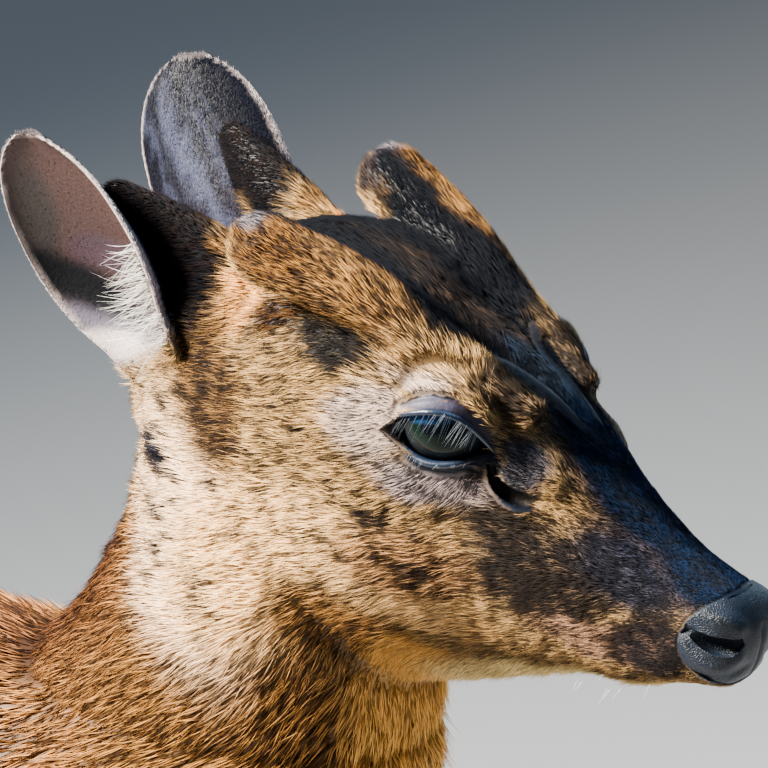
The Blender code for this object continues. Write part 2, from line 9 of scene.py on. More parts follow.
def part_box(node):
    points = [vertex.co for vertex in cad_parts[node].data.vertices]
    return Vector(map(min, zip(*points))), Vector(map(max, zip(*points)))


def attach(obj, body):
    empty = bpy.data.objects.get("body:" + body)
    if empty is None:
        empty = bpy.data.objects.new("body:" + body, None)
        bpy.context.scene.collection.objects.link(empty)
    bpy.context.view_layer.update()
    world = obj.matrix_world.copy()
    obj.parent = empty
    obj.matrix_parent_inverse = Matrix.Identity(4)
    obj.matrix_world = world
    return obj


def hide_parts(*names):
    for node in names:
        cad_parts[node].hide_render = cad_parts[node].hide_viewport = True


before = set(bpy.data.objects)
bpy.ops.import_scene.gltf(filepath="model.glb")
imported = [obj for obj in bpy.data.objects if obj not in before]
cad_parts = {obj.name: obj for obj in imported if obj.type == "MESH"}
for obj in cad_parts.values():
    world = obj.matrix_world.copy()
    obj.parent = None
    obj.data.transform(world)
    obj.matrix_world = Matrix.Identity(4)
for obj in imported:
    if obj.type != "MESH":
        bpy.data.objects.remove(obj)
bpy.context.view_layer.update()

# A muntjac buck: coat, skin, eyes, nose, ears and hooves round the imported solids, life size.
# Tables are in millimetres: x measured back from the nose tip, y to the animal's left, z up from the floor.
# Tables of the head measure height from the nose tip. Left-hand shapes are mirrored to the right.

bpy.ops.object.select_all(action="DESELECT")

MM = 0.001
SIDES = ((1, "left"), (-1, "right"))
GAP = 0.3

NOSE_HEIGHT = 513.0
EYE_CENTRE = np.array((-90.0, 20.7, NOSE_HEIGHT + 46.4))
EYE_RADIUS = 14.2
EYE_GAZE = np.array((0.30, 0.94, 0.10)) / np.linalg.norm((0.30, 0.94, 0.10))
LID_THICKNESS = 1.7
# The edge of each lid from the outer corner to the inner one.
LID_UPPER = (
    (-104.8, 27.3, 43.1),
    (-97.7, 32.2, 48.1),
    (-89.0, 35.2, 51.9),
    (-82.3, 33.6, 51.9),
    (-78.1, 30.7, 48.9),
    (-75.1, 27.3, 44.1),
    (-73.1, 24.3, 39.5),
)
LID_LOWER = (
    (-104.8, 27.3, 43.1),
    (-98.5, 31.3, 39.5),
    (-92.5, 32.1, 37.1),
    (-87.0, 31.7, 36.5),
    (-81.5, 29.5, 37.3),
    (-77.9, 26.3, 38.3),
    (-73.1, 24.3, 39.5),
)

EAR_ROOT = np.array((-180.0, 33.0, NOSE_HEIGHT + 45.0))
EAR_MIDDLE = np.array((-205.5, 36.0, NOSE_HEIGHT + 79.0))
EAR_TIP = np.array((-218.5, 41.5, NOSE_HEIGHT + 111.0))
EAR_FACING = np.array((-0.11, 0.967, -0.21))
EAR_BOWL = 0.7
EAR_WALL = 1.5
# Along the ear from root to tip: share of its length, half width, cup depth, how far the cup is open.
EAR_SECTIONS = (
    (0.0, 11.4, 10.4, 0.3),
    (0.14, 15.6, 12.8, 0.8),
    (0.24, 19.6, 13.0, 1.0),
    (0.38, 22.5, 12.0, 1.0),
    (0.52, 22.8, 9.7, 1.0),
    (0.68, 21.1, 7.1, 1.0),
    (0.82, 17.0, 5.1, 1.0),
    (0.92, 11.2, 3.6, 1.0),
    (0.985, 4.6, 2.5, 1.0),
)

HOOF_LENGTH = 34.0
HOOF_HEIGHT = 21.0
TOE_WIDTH = 11.4
TOE_SPACING = 12.2
FOOT_Y = 47.0
FEET = (("front", -194.0, (-219.0, 6.5, 47.0)), ("hind", -606.0, (-633.5, 6.5, 47.0)))
DEWCLAW_SIZE = (4.2, 3.6, 6.5)

# Upright sections of the head: x, top, bottom, half width, height of the widest place, and how square
# the upper and lower halves are.
HEAD_SECTIONS = (
    (0, -3, -9, 4, -6, 2, 2),
    (-2, 1, -16, 9.5, -7, 2, 2),
    (-5, 4, -21, 13, -8, 2.2, 2.2),
    (-9, 6.5, -23.5, 15, -9, 2.2, 2.2),
    (-15, 9.5, -24, 15.5, -9, 2.1, 2.3),
    (-24, 15, -25.5, 15.5, -9, 2.0, 2.3),
    (-34, 23, -29.5, 17, -8, 1.95, 2.2),
    (-44, 32, -30, 19.5, -4, 1.9, 2.1),
    (-54, 42, -30, 22.5, 4, 1.95, 2.0),
    (-64, 50.5, -33, 25.5, 14, 2.1, 1.9),
    (-74, 57, -36, 28.5, 24, 2.3, 1.8),
    (-85, 63.5, -39, 31.5, 32, 2.5, 1.8),
    (-98, 71, -42, 35, 34, 2.5, 2.0),
    (-110, 79, -44, 38, 32, 2.4, 2.15),
    (-125, 85, -45, 40, 30, 2.3, 2.15),
    (-140, 87, -42, 41, 28, 2.2, 2.1),
    (-155, 84, -30, 40, 28, 2.1, 2),
    (-170, 77, -15, 38, 26, 2.1, 2),
    (-185, 67, 0, 33, 28, 2, 2),
    (-198, 53, 15, 21, 32, 2, 2),
    (-203, 44, 24, 9, 33, 2, 2),
)
# The same for the trunk, with heights from the floor.
TRUNK_SECTIONS = (
    (-104, 392, 352, 14, 370, 2, 2),
    (-110, 416, 326, 30, 368, 2, 2),
    (-122, 436, 304, 43, 366, 2, 2),
    (-148, 450, 280, 54, 366, 2, 2),
    (-185, 456, 262, 63, 362, 2, 2),
    (-225, 458, 252, 70, 355, 2, 2.1),
    (-265, 456, 248, 75, 350, 2, 2.2),
    (-315, 457, 248, 80, 350, 2, 2.3),
    (-370, 463, 255, 82, 352, 2, 2.3),
    (-425, 471, 267, 81, 358, 2, 2.3),
    (-475, 478, 285, 79, 368, 2.1, 2.2),
    (-520, 480, 304, 77, 380, 2.2, 2),
    (-560, 476, 320, 73, 386, 2.2, 2),
    (-600, 462, 332, 64, 386, 2.2, 2),
    (-630, 443, 350, 45, 388, 2, 2),
    (-644, 424, 368, 22, 392, 2, 2),
)
# Limb stations: x, y, z, half depth, half width, from inside the trunk outwards.
NECK_STATIONS = (
    (-212, 0, 350, 80, 58),
    (-192, 0, 402, 74, 54),
    (-179, 0, 428, 67, 50),
    (-169.5, 0, 452, 61, 47),
    (-163, 0, 478, 54, 43),
    (-159, 0, 498, 49, 41),
    (-156, 0, 522, 46.5, 40),
    (-154, 0, 545, 43.5, 39),
    (-152, 0, 570, 34, 34),
)
FRONT_LEG_STATIONS = (
    (-220, 54, 300, 33, 21),
    (-228, 53, 266, 23, 17),
    (-226, 51, 228, 16, 13),
    (-221, 49, 188, 12.5, 10.8),
    (-217, 48, 162, 13, 11.8),
    (-216, 48, 142, 11.5, 10.2),
    (-216, 47.5, 112, 8.8, 8.4),
    (-215, 47, 82, 8.6, 8.2),
    (-214, 47, 63, 10.8, 10.4),
    (-207, 47, 43, 9.8, 10),
    (-200, 47, 26, 12, 11.4),
    (-196, 47, 14, 12, 11.4),
)
HIND_LEG_STATIONS = (
    (-560, 48, 385, 78, 30),
    (-546, 53, 338, 66, 30),
    (-548, 55, 302, 50, 26),
    (-573, 54, 268, 33, 20),
    (-603, 52, 238, 21, 15),
    (-629, 50, 212, 16.5, 12.5),
    (-639, 49.5, 193, 16, 12),
    (-637, 49, 170, 12.5, 11.2),
    (-634, 48, 140, 10.2, 9.6),
    (-631, 47, 100, 9.2, 8.8),
    (-629.5, 47, 77, 9.6, 9),
    (-628, 47, 63, 11.2, 10.8),
    (-620, 47, 43, 10.2, 10.4),
    (-612, 47, 26, 12.4, 11.8),
    (-608, 47, 14, 12.4, 11.8),
)
TAIL_STATIONS = (
    (-628, 0, 440, 13, 16),
    (-644, 0, 430, 13, 18),
    (-655, 0, 408, 12, 20),
    (-660, 0, 378, 11, 20),
    (-661, 0, 345, 9.5, 18),
    (-660, 0, 318, 7, 13),
    (-659, 0, 302, 3.5, 6),
)
# Rounded masses under the coat: centre, radii, and lean in degrees towards the nose.
MUSCLES = (
    ((-200, 42, 362), (58, 24, 80), 12),
    ((-214, 49, 308), (42, 23, 46), 0),
    ((-575, 40, 392), (58, 32, 60), -12),
)
FACE_MASSES = (
    ((-93, 16.5, NOSE_HEIGHT + 46.5), (21, 14, 16), 20),
    ((-67, 14.0, NOSE_HEIGHT + 32.5), (15, 8.5, 10), 35),
    ((-30, 9, NOSE_HEIGHT - 14), (16, 8.5, 8), 10),
    ((-168, 20, NOSE_HEIGHT + 60), (22, 14, 20), 0),
)
PEDICLE_STATIONS = (
    (-66, 13.5, NOSE_HEIGHT + 46.5, 6, 5),
    (-82, 17, NOSE_HEIGHT + 58, 7, 6),
    (-96, 19.5, NOSE_HEIGHT + 66, 8, 7.5),
    (-110, 23, NOSE_HEIGHT + 74, 10, 9.5),
    (-126, 28, NOSE_HEIGHT + 82, 10.4, 10.4),
    (-143.5, 33, NOSE_HEIGHT + 88.5, 10.8, 10.8),
)
EAR_BASE_STATIONS = (
    (-150, 16, NOSE_HEIGHT + 66, 12, 11),
    (-162, 19.5, NOSE_HEIGHT + 70, 13, 11),
    (-172, 22, NOSE_HEIGHT + 75.5, 13, 9.5),
    (-182, 24.5, NOSE_HEIGHT + 82.5, 11.2, 7.2),
    (-190, 27, NOSE_HEIGHT + 88.5, 8.6, 4.8),
    (-197, 29.6, NOSE_HEIGHT + 94.5, 5.5, 3),
)
GLAND_SLIT = ((-73.5, 25.8, 37), (-71.5, 26.2, 31.5), (-66, 25.2, 28), (-59.5, 23.5, 28), (-57, 21.5, 31.5))
GLAND_RADII = (1.2, 1.8, 2.1, 2.0, 1.1)
FRONTAL_RIDGE = ((-84, 12.5, 63.5), (-79.5, 9.2, 60.6), (-73, 6.8, 56.6), (-64.5, 5.0, 50.4), (-56, 4.0, 43.6))
RIDGE_GROOVE = (0.6, 3.0, -1.6)
MOUTH_LINE = ((-3.5, 0, -20), (-9, 9, -20.6), (-17, 13.5, -21), (-33, 16.5, -21), (-46, 18.5, -19.5), (-62, 22, -15.5))
MOUTH_RADIUS = 0.8
NOSTRIL_PATH = (
    (-15.5, 15.2, -4.4),
    (-12.2, 14.2, -5.8),
    (-8.4, 12.6, -7.2),
    (-5.0, 10.8, -7.6),
    (-2.0, 8.0, -6.4),
)
NOSTRIL_RADII = (0.8, 2.1, 3.1, 3.0, 1.4)
NOSE_PAD_CENTRE = (-1.0, 0.0, NOSE_HEIGHT - 8.0)
NOSE_PAD_RADII = (20.0, 34.0, 14.2)
NECK_JOIN = 450.0

HEAD_VOXEL = 1.0
BODY_VOXEL = 2.8
NOSE_VOXEL = 0.55

# The part's own measure is moved so that the middle of its footprint box is the origin.
eye_low, eye_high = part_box("eye_left")
SHIFT = np.array((eye_low + eye_high) / 2) - EYE_CENTRE * MM


def head_points(points):
    """Points of a head table with their heights from the floor."""
    return np.array(points, float) + (0, 0, NOSE_HEIGHT)


def mirrored(points, side):
    return np.array(points, float) * (1, side, 1)


def unit(vectors):
    return vectors / np.maximum(np.linalg.norm(vectors, axis=-1, keepdims=True), 1e-9)


def smooth_rows(rows, steps):
    """Rows of numbers read along one smooth curve through the given rows."""
    rows = np.array(rows, float)
    padded = np.vstack([2 * rows[0] - rows[1], rows, 2 * rows[-1] - rows[-2]])
    made = []
    for i in range(len(rows) - 1):
        before, start, end, after = padded[i : i + 4]
        for t in np.arange(steps) / steps:
            cubic = (3 * start - before - 3 * end + after) * t**3
            square = (2 * before - 5 * start + 4 * end - after) * t**2
            made.append(0.5 * (2 * start + (end - before) * t + square + cubic))
    made.append(rows[-1])
    return np.array(made)


def ramp(values, start, end):
    """Rises smoothly from 0 at start to 1 at end."""
    t = np.clip((values - start) / (end - start), 0, 1)
    return t * t * (3 - 2 * t)


def ripple(points, size, seed):
    """A smooth wandering value from about -1 to 1, with waves about so many millimetres long."""
    chance = np.random.default_rng(seed)
    total = np.zeros(len(points))
    for _ in range(7):
        way = unit(chance.normal(size=3))
        pace = 2 * math.pi / size * chance.uniform(0.6, 1.6)
        total += np.sin(points @ way * pace + chance.uniform(0, 2 * math.pi))
    return total / 2.6


def distance_to(points, line):
    """How far points are from a line of points, and how far along the line the nearest place is, from 0 to 1."""
    line = np.array(line, float)
    best = np.full(len(points), 1e9)
    share = np.zeros(len(points))
    for i in range(len(line) - 1):
        start, run = line[i], line[i + 1] - line[i]
        t = np.clip((points - start) @ run / (run @ run), 0, 1)
        away = np.linalg.norm(points - start - t[:, None] * run, axis=1)
        nearer = away < best
        best = np.where(nearer, away, best)
        share = np.where(nearer, (i + t) / (len(line) - 1), share)
    return best, share


def mesh_piece(name, points, faces):
    """An object from points in millimetres in the part's own measure, with its faces turned outwards."""
    mesh = bpy.data.meshes.new(name)
    mesh.from_pydata((np.asarray(points) * MM + SHIFT).tolist(), [], faces)
    work = bmesh.new()
    work.from_mesh(mesh)
    bmesh.ops.recalc_face_normals(work, faces=work.faces)
    work.to_mesh(mesh)
    work.free()
    piece = bpy.data.objects.new(name, mesh)
    bpy.context.scene.collection.objects.link(piece)
    return piece


def loft(name, rings):
    """A closed tube through rings of points, with a fan over each end."""
    rings = np.array(rings, float)
    count, around = rings.shape[:2]
    points = [*rings.reshape(-1, 3), rings[0].mean(axis=0), rings[-1].mean(axis=0)]
    faces = []
    for j in range(around):
        k = (j + 1) % around
        for i in range(count - 1):
            faces.append((i * around + j, i * around + k, (i + 1) * around + k, (i + 1) * around + j))
        faces.append((k, j, count * around))
        faces.append(((count - 1) * around + j, (count - 1) * around + k, count * around + 1))
    return mesh_piece(name, points, faces)


def upright_loft(name, sections, base_height, around=64, steps=4):
    """A tube whose sections stand upright across x."""
    rings = []
    angles = 2 * math.pi * np.arange(around) / around
    for x, top, bottom, half, widest, upper, lower in smooth_rows(sections, steps):
        c, s = np.cos(angles), np.sin(angles)
        power = np.where(s >= 0, 2 / upper, 2 / lower)
        across = half * np.sign(c) * np.abs(c) ** power
        reach = np.where(s >= 0, top - widest, widest - bottom)
        up = base_height + widest + reach * np.sign(s) * np.abs(s) ** power
        rings.append(np.column_stack([np.full(around, x), across, up]))
    return loft(name, rings)


def limb(name, stations, side=1, around=32, steps=6, round_end=False):
    """A tube along a path, oval across it: half depth fore and aft, half width sideways."""
    rows = smooth_rows(stations, steps)
    along = unit(np.gradient(rows[:, :3], axis=0))
    angles = 2 * math.pi * np.arange(around) / around
    rings = []
    for row, way in zip(rows, along):
        sideways = unit(np.array((0, 1, 0)) - way * way[1])
        fore = np.cross(sideways, way)
        rings.append(
            row[:3] + np.outer(np.cos(angles), fore) * row[3] + np.outer(np.sin(angles), sideways) * row[4]
        )
    if round_end:
        last, way, size = rings[-1], along[-1], min(rows[-1][3:5])
        middle = last.mean(axis=0)
        for turn in np.radians((20, 40, 58, 74)):
            rings.append(middle + (last - middle) * math.cos(turn) + way * size * math.sin(turn))
    return loft(name, mirrored(rings, side))


def tube(name, path, radii, side=1, around=12, steps=4, flat=1.0, up=(0.1, 0.2, 1.0)):
    """A rounded tube of changing radius through points, flattened across the given way."""
    rows = smooth_rows([(*p, r) for p, r in zip(path, radii)], steps)
    along = unit(np.gradient(rows[:, :3], axis=0))
    angles = 2 * math.pi * np.arange(around) / around
    rings = []
    for row, way in zip(rows, along):
        first = unit(np.cross(way, up))
        second = np.cross(way, first) * flat
        rings.append(row[:3] + row[3] * (np.outer(np.cos(angles), first) + np.outer(np.sin(angles), second)))
    return loft(name, mirrored(rings, side))


def ball(name, centre, radii, side=1, lean=0.0, rings=32):
    """A sphere stretched to three radii and leaned about the cross axis."""
    bpy.ops.mesh.primitive_uv_sphere_add(
        segments=2 * rings,
        ring_count=rings,
        radius=MM,
        location=mirrored(centre, side) * MM + SHIFT,
        rotation=(0, math.radians(lean), 0),
        scale=radii,
    )
    piece = bpy.context.object
    piece.name = name
    bpy.ops.object.transform_apply(location=True, rotation=True, scale=True)
    return piece


def block(name, low, high):
    """An upright box between two corners."""
    low, high = np.array(low, float), np.array(high, float)
    bpy.ops.mesh.primitive_cube_add(size=MM, location=(low + high) / 2 * MM + SHIFT, scale=high - low)
    piece = bpy.context.object
    piece.name = name
    bpy.ops.object.transform_apply(location=True, rotation=True, scale=True)
    return piece


def shaped_by(piece, kind, **settings):
    """Puts one modifier on a piece and applies it."""
    made = piece.modifiers.new(kind.title(), kind)
    for key, value in settings.items():
        setattr(made, key, value)
    bpy.context.view_layer.objects.active = piece
    bpy.ops.object.modifier_apply(modifier=made.name)
    return piece


def joined(name, pieces):
    """Several pieces as one object."""
    bpy.ops.object.select_all(action="DESELECT")
    for piece in pieces:
        piece.select_set(True)
    bpy.context.view_layer.objects.active = pieces[0]
    bpy.ops.object.join()
    pieces[0].name = name
    pieces[0].data.name = name
    pieces[0].select_set(False)
    return pieces[0]


def fused(name, pieces, voxel, rounds):
    """One smooth skin over overlapping shapes."""
    piece = joined(name, pieces)
    shaped_by(piece, "REMESH", mode="VOXEL", voxel_size=voxel * MM)
    return shaped_by(piece, "SMOOTH", factor=0.5, iterations=rounds)


def combined(piece, others, operation):
    """Adds or cuts away other closed shapes, which are then removed."""
    for other in others:
        shaped_by(piece, "BOOLEAN", object=other, operation=operation, solver="MANIFOLD")
        bpy.data.objects.remove(other)
    return piece


def points_of(piece):
    """A piece's points in millimetres, and their normals."""
    count = len(piece.data.vertices)
    points, normals = np.empty(count * 3), np.empty(count * 3)
    piece.data.vertices.foreach_get("co", points)
    piece.data.vertices.foreach_get("normal", normals)
    return (points.reshape(-1, 3) - SHIFT) / MM, normals.reshape(-1, 3)


def moved(piece, points):
    """Puts a piece's points at new places, in millimetres."""
    piece.data.vertices.foreach_set("co", (points * MM + SHIFT).ravel())
    piece.data.update()
    return piece


def folded(points):
    """Points with the right-hand side laid over the left, as the coat is the same on both."""
    return np.column_stack([points[:, 0], np.abs(points[:, 1]), points[:, 2]])


def near(points, centre, radii, droop=0.0):
    """1 in the middle of an egg-shaped patch, falling softly to 0 at its edge. Droop lowers its front end."""
    away = points - np.array(centre, float)
    c, s = math.cos(math.radians(droop)), math.sin(math.radians(droop))
    along = away[:, 0] * c - away[:, 2] * s
    rise = away[:, 2] * c + away[:, 0] * s
    reach = np.sqrt((along / radii[0]) ** 2 + (away[:, 1] / radii[1]) ** 2 + (rise / radii[2]) ** 2)
    return 1 - ramp(reach, 0.55, 1.15)


def head_seam(points):
    return (points[:, 0] + 152) * 0.687 + (points[:, 2] - NOSE_HEIGHT) * 0.727


def neck_seam(points):
    return (points[:, 0] + 178) * 0.42 + (points[:, 2] - 428) * 0.907


def layered(points, base, patches):
    """Values for trunk, neck and head that run into each other, then patch over patch.

    Each patch is its value, centre measured from the nose tip, radii, droop and strength.
    """
    trunk, neck, head = (np.array(row, float) for row in base)
    to_neck = ramp(neck_seam(points), -45, 15)[:, None]
    to_head = ramp(head_seam(points), -25, 10)[:, None]
    value = trunk * (1 - to_neck) + neck * to_neck
    value = value * (1 - to_head) + head * to_head
    for layer, centre, radii, droop, strength in patches:
        share = near(points, head_points(centre), radii, droop)[:, None] * strength
        value = value * (1 - share) + np.array(layer, float) * share
    return value


# The coat

# Each field of the coat starts from a value for the trunk, one for the neck and one for the head.
# Tufts: length, width, how close they stand, and how far their tips lift off the skin as a share of length.
TUFT_BASE = ((15.0, 1.2, 0.76, 0.20), (8.6, 0.40, 0.94, 0.19), (5.4, 0.21, 0.96, 0.11))
TUFT_PATCHES = (
    ((13.0, 0.9, 1.0, 0.20), (-150, 0, -150), (110, 110, 90), 0, 1),
    ((9.6, 0.56, 1.0, 0.22), (-160, 0, -85), (75, 75, 50), 0, 0.9),
    ((5.6, 0.38, 1.0, 0.22), (-165, 0, 2), (60, 70, 40), 0, 0.8),
    ((4.6, 0.21, 1.0, 0.11), (-80, 0, 32), (44, 60, 60), 0, 0.8),
    ((3.0, 0.18, 1.0, 0.11), (-46, 0, 7), (38, 40, 60), 0, 1),
    ((1.8, 0.16, 1.0, 0.11), (-14, 0, -3), (24, 40, 36), 0, 1),
    ((4.2, 0.27, 1.2, 0.30), (-60, 0, -31), (46, 40, 8), 0, 0.9),
    ((2.3, 0.16, 1.0, 0.11), (-88, 34, 45), (21, 14, 15), 0, 1),
    ((2.0, 0.17, 1.0, 0.12), (-64, 22, 33), (12, 10, 10), 0, 1),
    ((2.8, 0.18, 1.0, 0.12), (-70, 8, 55), (20, 10, 12), 38, 1),
    ((4.2, 0.24, 1.0, 0.16), (-140, 32, 87), (34, 24, 24), 30, 1),
    ((4.6, 0.32, 1.0, 0.30), (-185, 30, 66), (24, 40, 18), 0, 1),
    ((2.8, 0.26, 1.0, 0.18), (-186, 22, 92), (26, 22, 15), 0, 1),
    ((9.5, 0.9, 0.9, 0.20), (-224, 50, -288), (52, 45, 70), 0, 1),
    ((6.0, 0.75, 0.9, 0.18), (-214, 47, -413), (50, 40, 105), 0, 1),
    ((12.0, 1.2, 0.9, 0.20), (-560, 55, -253), (90, 60, 60), 0, 0.8),
    ((6.6, 0.85, 0.9, 0.18), (-622, 47, -398), (70, 40, 130), 0, 1),
    ((18.0, 1.1, 1.0, 0.24), (-660, 0, -143), (24, 40, 95), 0, 1),
)
TUFT_ON_EAR = (1.5, 0.11, 0.36, 0.12)
COAT_TUFTS = 366000

# Which way the hair lies, for the left side.
LIE_BASE = ((-1.0, 0.0, -0.30), (-0.80, 0.0, -0.62), (-1.0, 0.0, -0.12))
LIE_PATCHES = (
    ((-0.30, 0.0, -1.0), (-125, 0, -138), (50, 90, 80), 0, 1),
    ((-1.0, 0.0, -0.12), (-175, 40, 0), (34, 40, 36), 0, 0.9),
    ((-0.95, 0.0, -0.30), (-140, 40, -5), (44, 50, 26), 0, 0.9),
    ((-0.75, 0.0, -0.80), (-130, 30, -38), (30, 40, 22), 0, 1),
    ((-0.25, 0.0, -1.0), (-108, 0, -50), (26, 34, 40), 0, 1),
    ((-0.95, 0.0, 0.22), (-60, 0, 27), (55, 40, 40), 35, 0.9),
    ((-0.95, 0.0, -0.20), (-58, 22, -6), (45, 22, 16), 0, 0.9),
    ((-0.8, 0.1, -0.7), (-50, 0, -28), (60, 30, 9), 0, 0.9),
    ((-0.78, 0.0, 0.62), (-105, 20, 76), (44, 24, 18), 34, 0.9),
    ((-0.85, 0.20, 0.50), (-138, 32, 92), (26, 18, 18), 30, 1),
    ((-0.85, 0.0, -0.45), (-135, 38, 60), (24, 20, 14), 20, 0.8),
    ((-0.35, 0.0, -1.0), (-215, 50, -223), (60, 50, 60), 0, 0.9),
    ((-0.05, 0.0, -1.0), (-216, 47, -383), (60, 50, 150), 0, 1),
    ((-0.6, 0.0, -0.9), (-575, 60, -193), (90, 50, 90), 0, 0.9),
    ((-0.15, 0.0, -1.0), (-620, 47, -393), (70, 50, 160), 0, 1),
    ((-0.15, 0.0, -1.0), (-660, 0, -143), (24, 40, 95), 0, 1),
)
EYE_FAN = 22.0

# Colours of the coat's light hair, and how much dark hair each colour is mixed with.
TONE = {
    "bracken": (0.62, 0.28, 0.075, 0.44),
    "rufous": (0.4, 0.15, 0.045, 0.42),
    "chestnut": (0.22, 0.075, 0.026, 0.58),
    "belly": (0.70, 0.60, 0.46, 0.08),
    "cream": (0.97, 0.67, 0.41, 0.06),
    "sand": (0.97, 0.6, 0.26, 0.1),
    "fawn": (0.62, 0.37, 0.14, 0.42),
    "gold": (0.84, 0.48, 0.17, 0.34),
    "tan": (0.42, 0.19, 0.04, 0.5),
    "ochre": (0.9, 0.46, 0.1, 0.06),
    "brow": (0.34, 0.165, 0.042, 0.56),
    "stub": (0.22, 0.095, 0.018, 0.58),
    "orange": (0.92, 0.43, 0.12, 0.08),
    # Painted shadow under the pedicle.
    "pedicle_shadow": (0.12, 0.05, 0.012, 0.55),
    "ring": (0.66, 0.52, 0.46, 0.24),
    "under_eye": (0.58, 0.46, 0.46, 0.5),
    # Dark gland-mound hair with a blue-grey painted sky sheen.
    "mound_with_sky_sheen": (0.12, 0.13, 0.18, 0.55),
    "brindle": (0.63, 0.33, 0.13, 0.46),
    "dusk": (0.14, 0.088, 0.048, 0.88),
    "muzzle": (0.054, 0.049, 0.07, 0.8),
    "lip": (0.38, 0.21, 0.12, 0.48),
    "chin": (0.95, 0.7, 0.3, 0.03),
    # Near-black hair with a blue tint painted in as sky sheen.
    "slate_with_sky_sheen": (0.0012, 0.011, 0.04, 0.55),
    "tick": (0.077, 0.048, 0.029, 0.9),
    # Ticked dark hair with a blue tint painted in as sky sheen.
    "tick_with_sky_sheen": (0.02, 0.05, 0.1, 0.75),
    # Black stripe hair with a slight blue tint painted in as sheen.
    "stripe": (0.00084, 0.0017, 0.0042, 0.75),
    # Painted shade of the temple's hollow.
    "temple_hollow_shade": (0.07, 0.056, 0.04, 0.88),
    "umber": (0.008, 0.0042, 0.0035, 0.5),
    "mocha": (0.085, 0.045, 0.022, 0.8),
    "fleck": (0.019, 0.016, 0.019, 0.92),
    "smoke": (0.05, 0.045, 0.065, 0.8),
    "ash": (0.05, 0.035, 0.03, 0.5),
    "silver": (0.22, 0.2, 0.24, 0.45),
    "shin": (0.090, 0.058, 0.040, 0.50),
    "ear_back": (0.003, 0.004, 0.011, 0.04),
    # Painted sheen on the back of the ear.
    "ear_sheen_streak": (0.075, 0.085, 0.15, 0.02),
    "ear_rim": (0.62, 0.52, 0.5, 0.02),
    "ear_cup": (0.055, 0.031, 0.029, 0.05),
    "ear_pink_and_highlight": (0.055, 0.032, 0.045, 0.02),
    # Painted shade of the ear canal's hollow.
    "ear_canal_shade": (0.0021, 0.0025, 0.0042, 0.5),
    "ear_low_lit": (0.12, 0.108, 0.15, 0.02),
    "lid": (0.05, 0.046, 0.075, 0.2),
    "lid_low": (0.0021, 0.006, 0.015, 0.5),
    "crease": (0.0057, 0.0025, 0.0027, 0.5),
    "gland": (0.00041, 0.00055, 0.00096, 0.6),
    "gland_rim": (0.045, 0.062, 0.12, 0.3),
    "ridge": (0.0022, 0.0022, 0.0048, 0.5),
    "lip_skin": (0.0042, 0.0017, 0.0015, 0.5),
    "lip_front": (0.07, 0.042, 0.033, 0.84),
    "ear_brown": (0.016, 0.011, 0.019, 0.04),
    "ear_grey": (0.028, 0.025, 0.024, 0.05),
    "lid_dark": (0.03, 0.022, 0.036, 0.4),
}
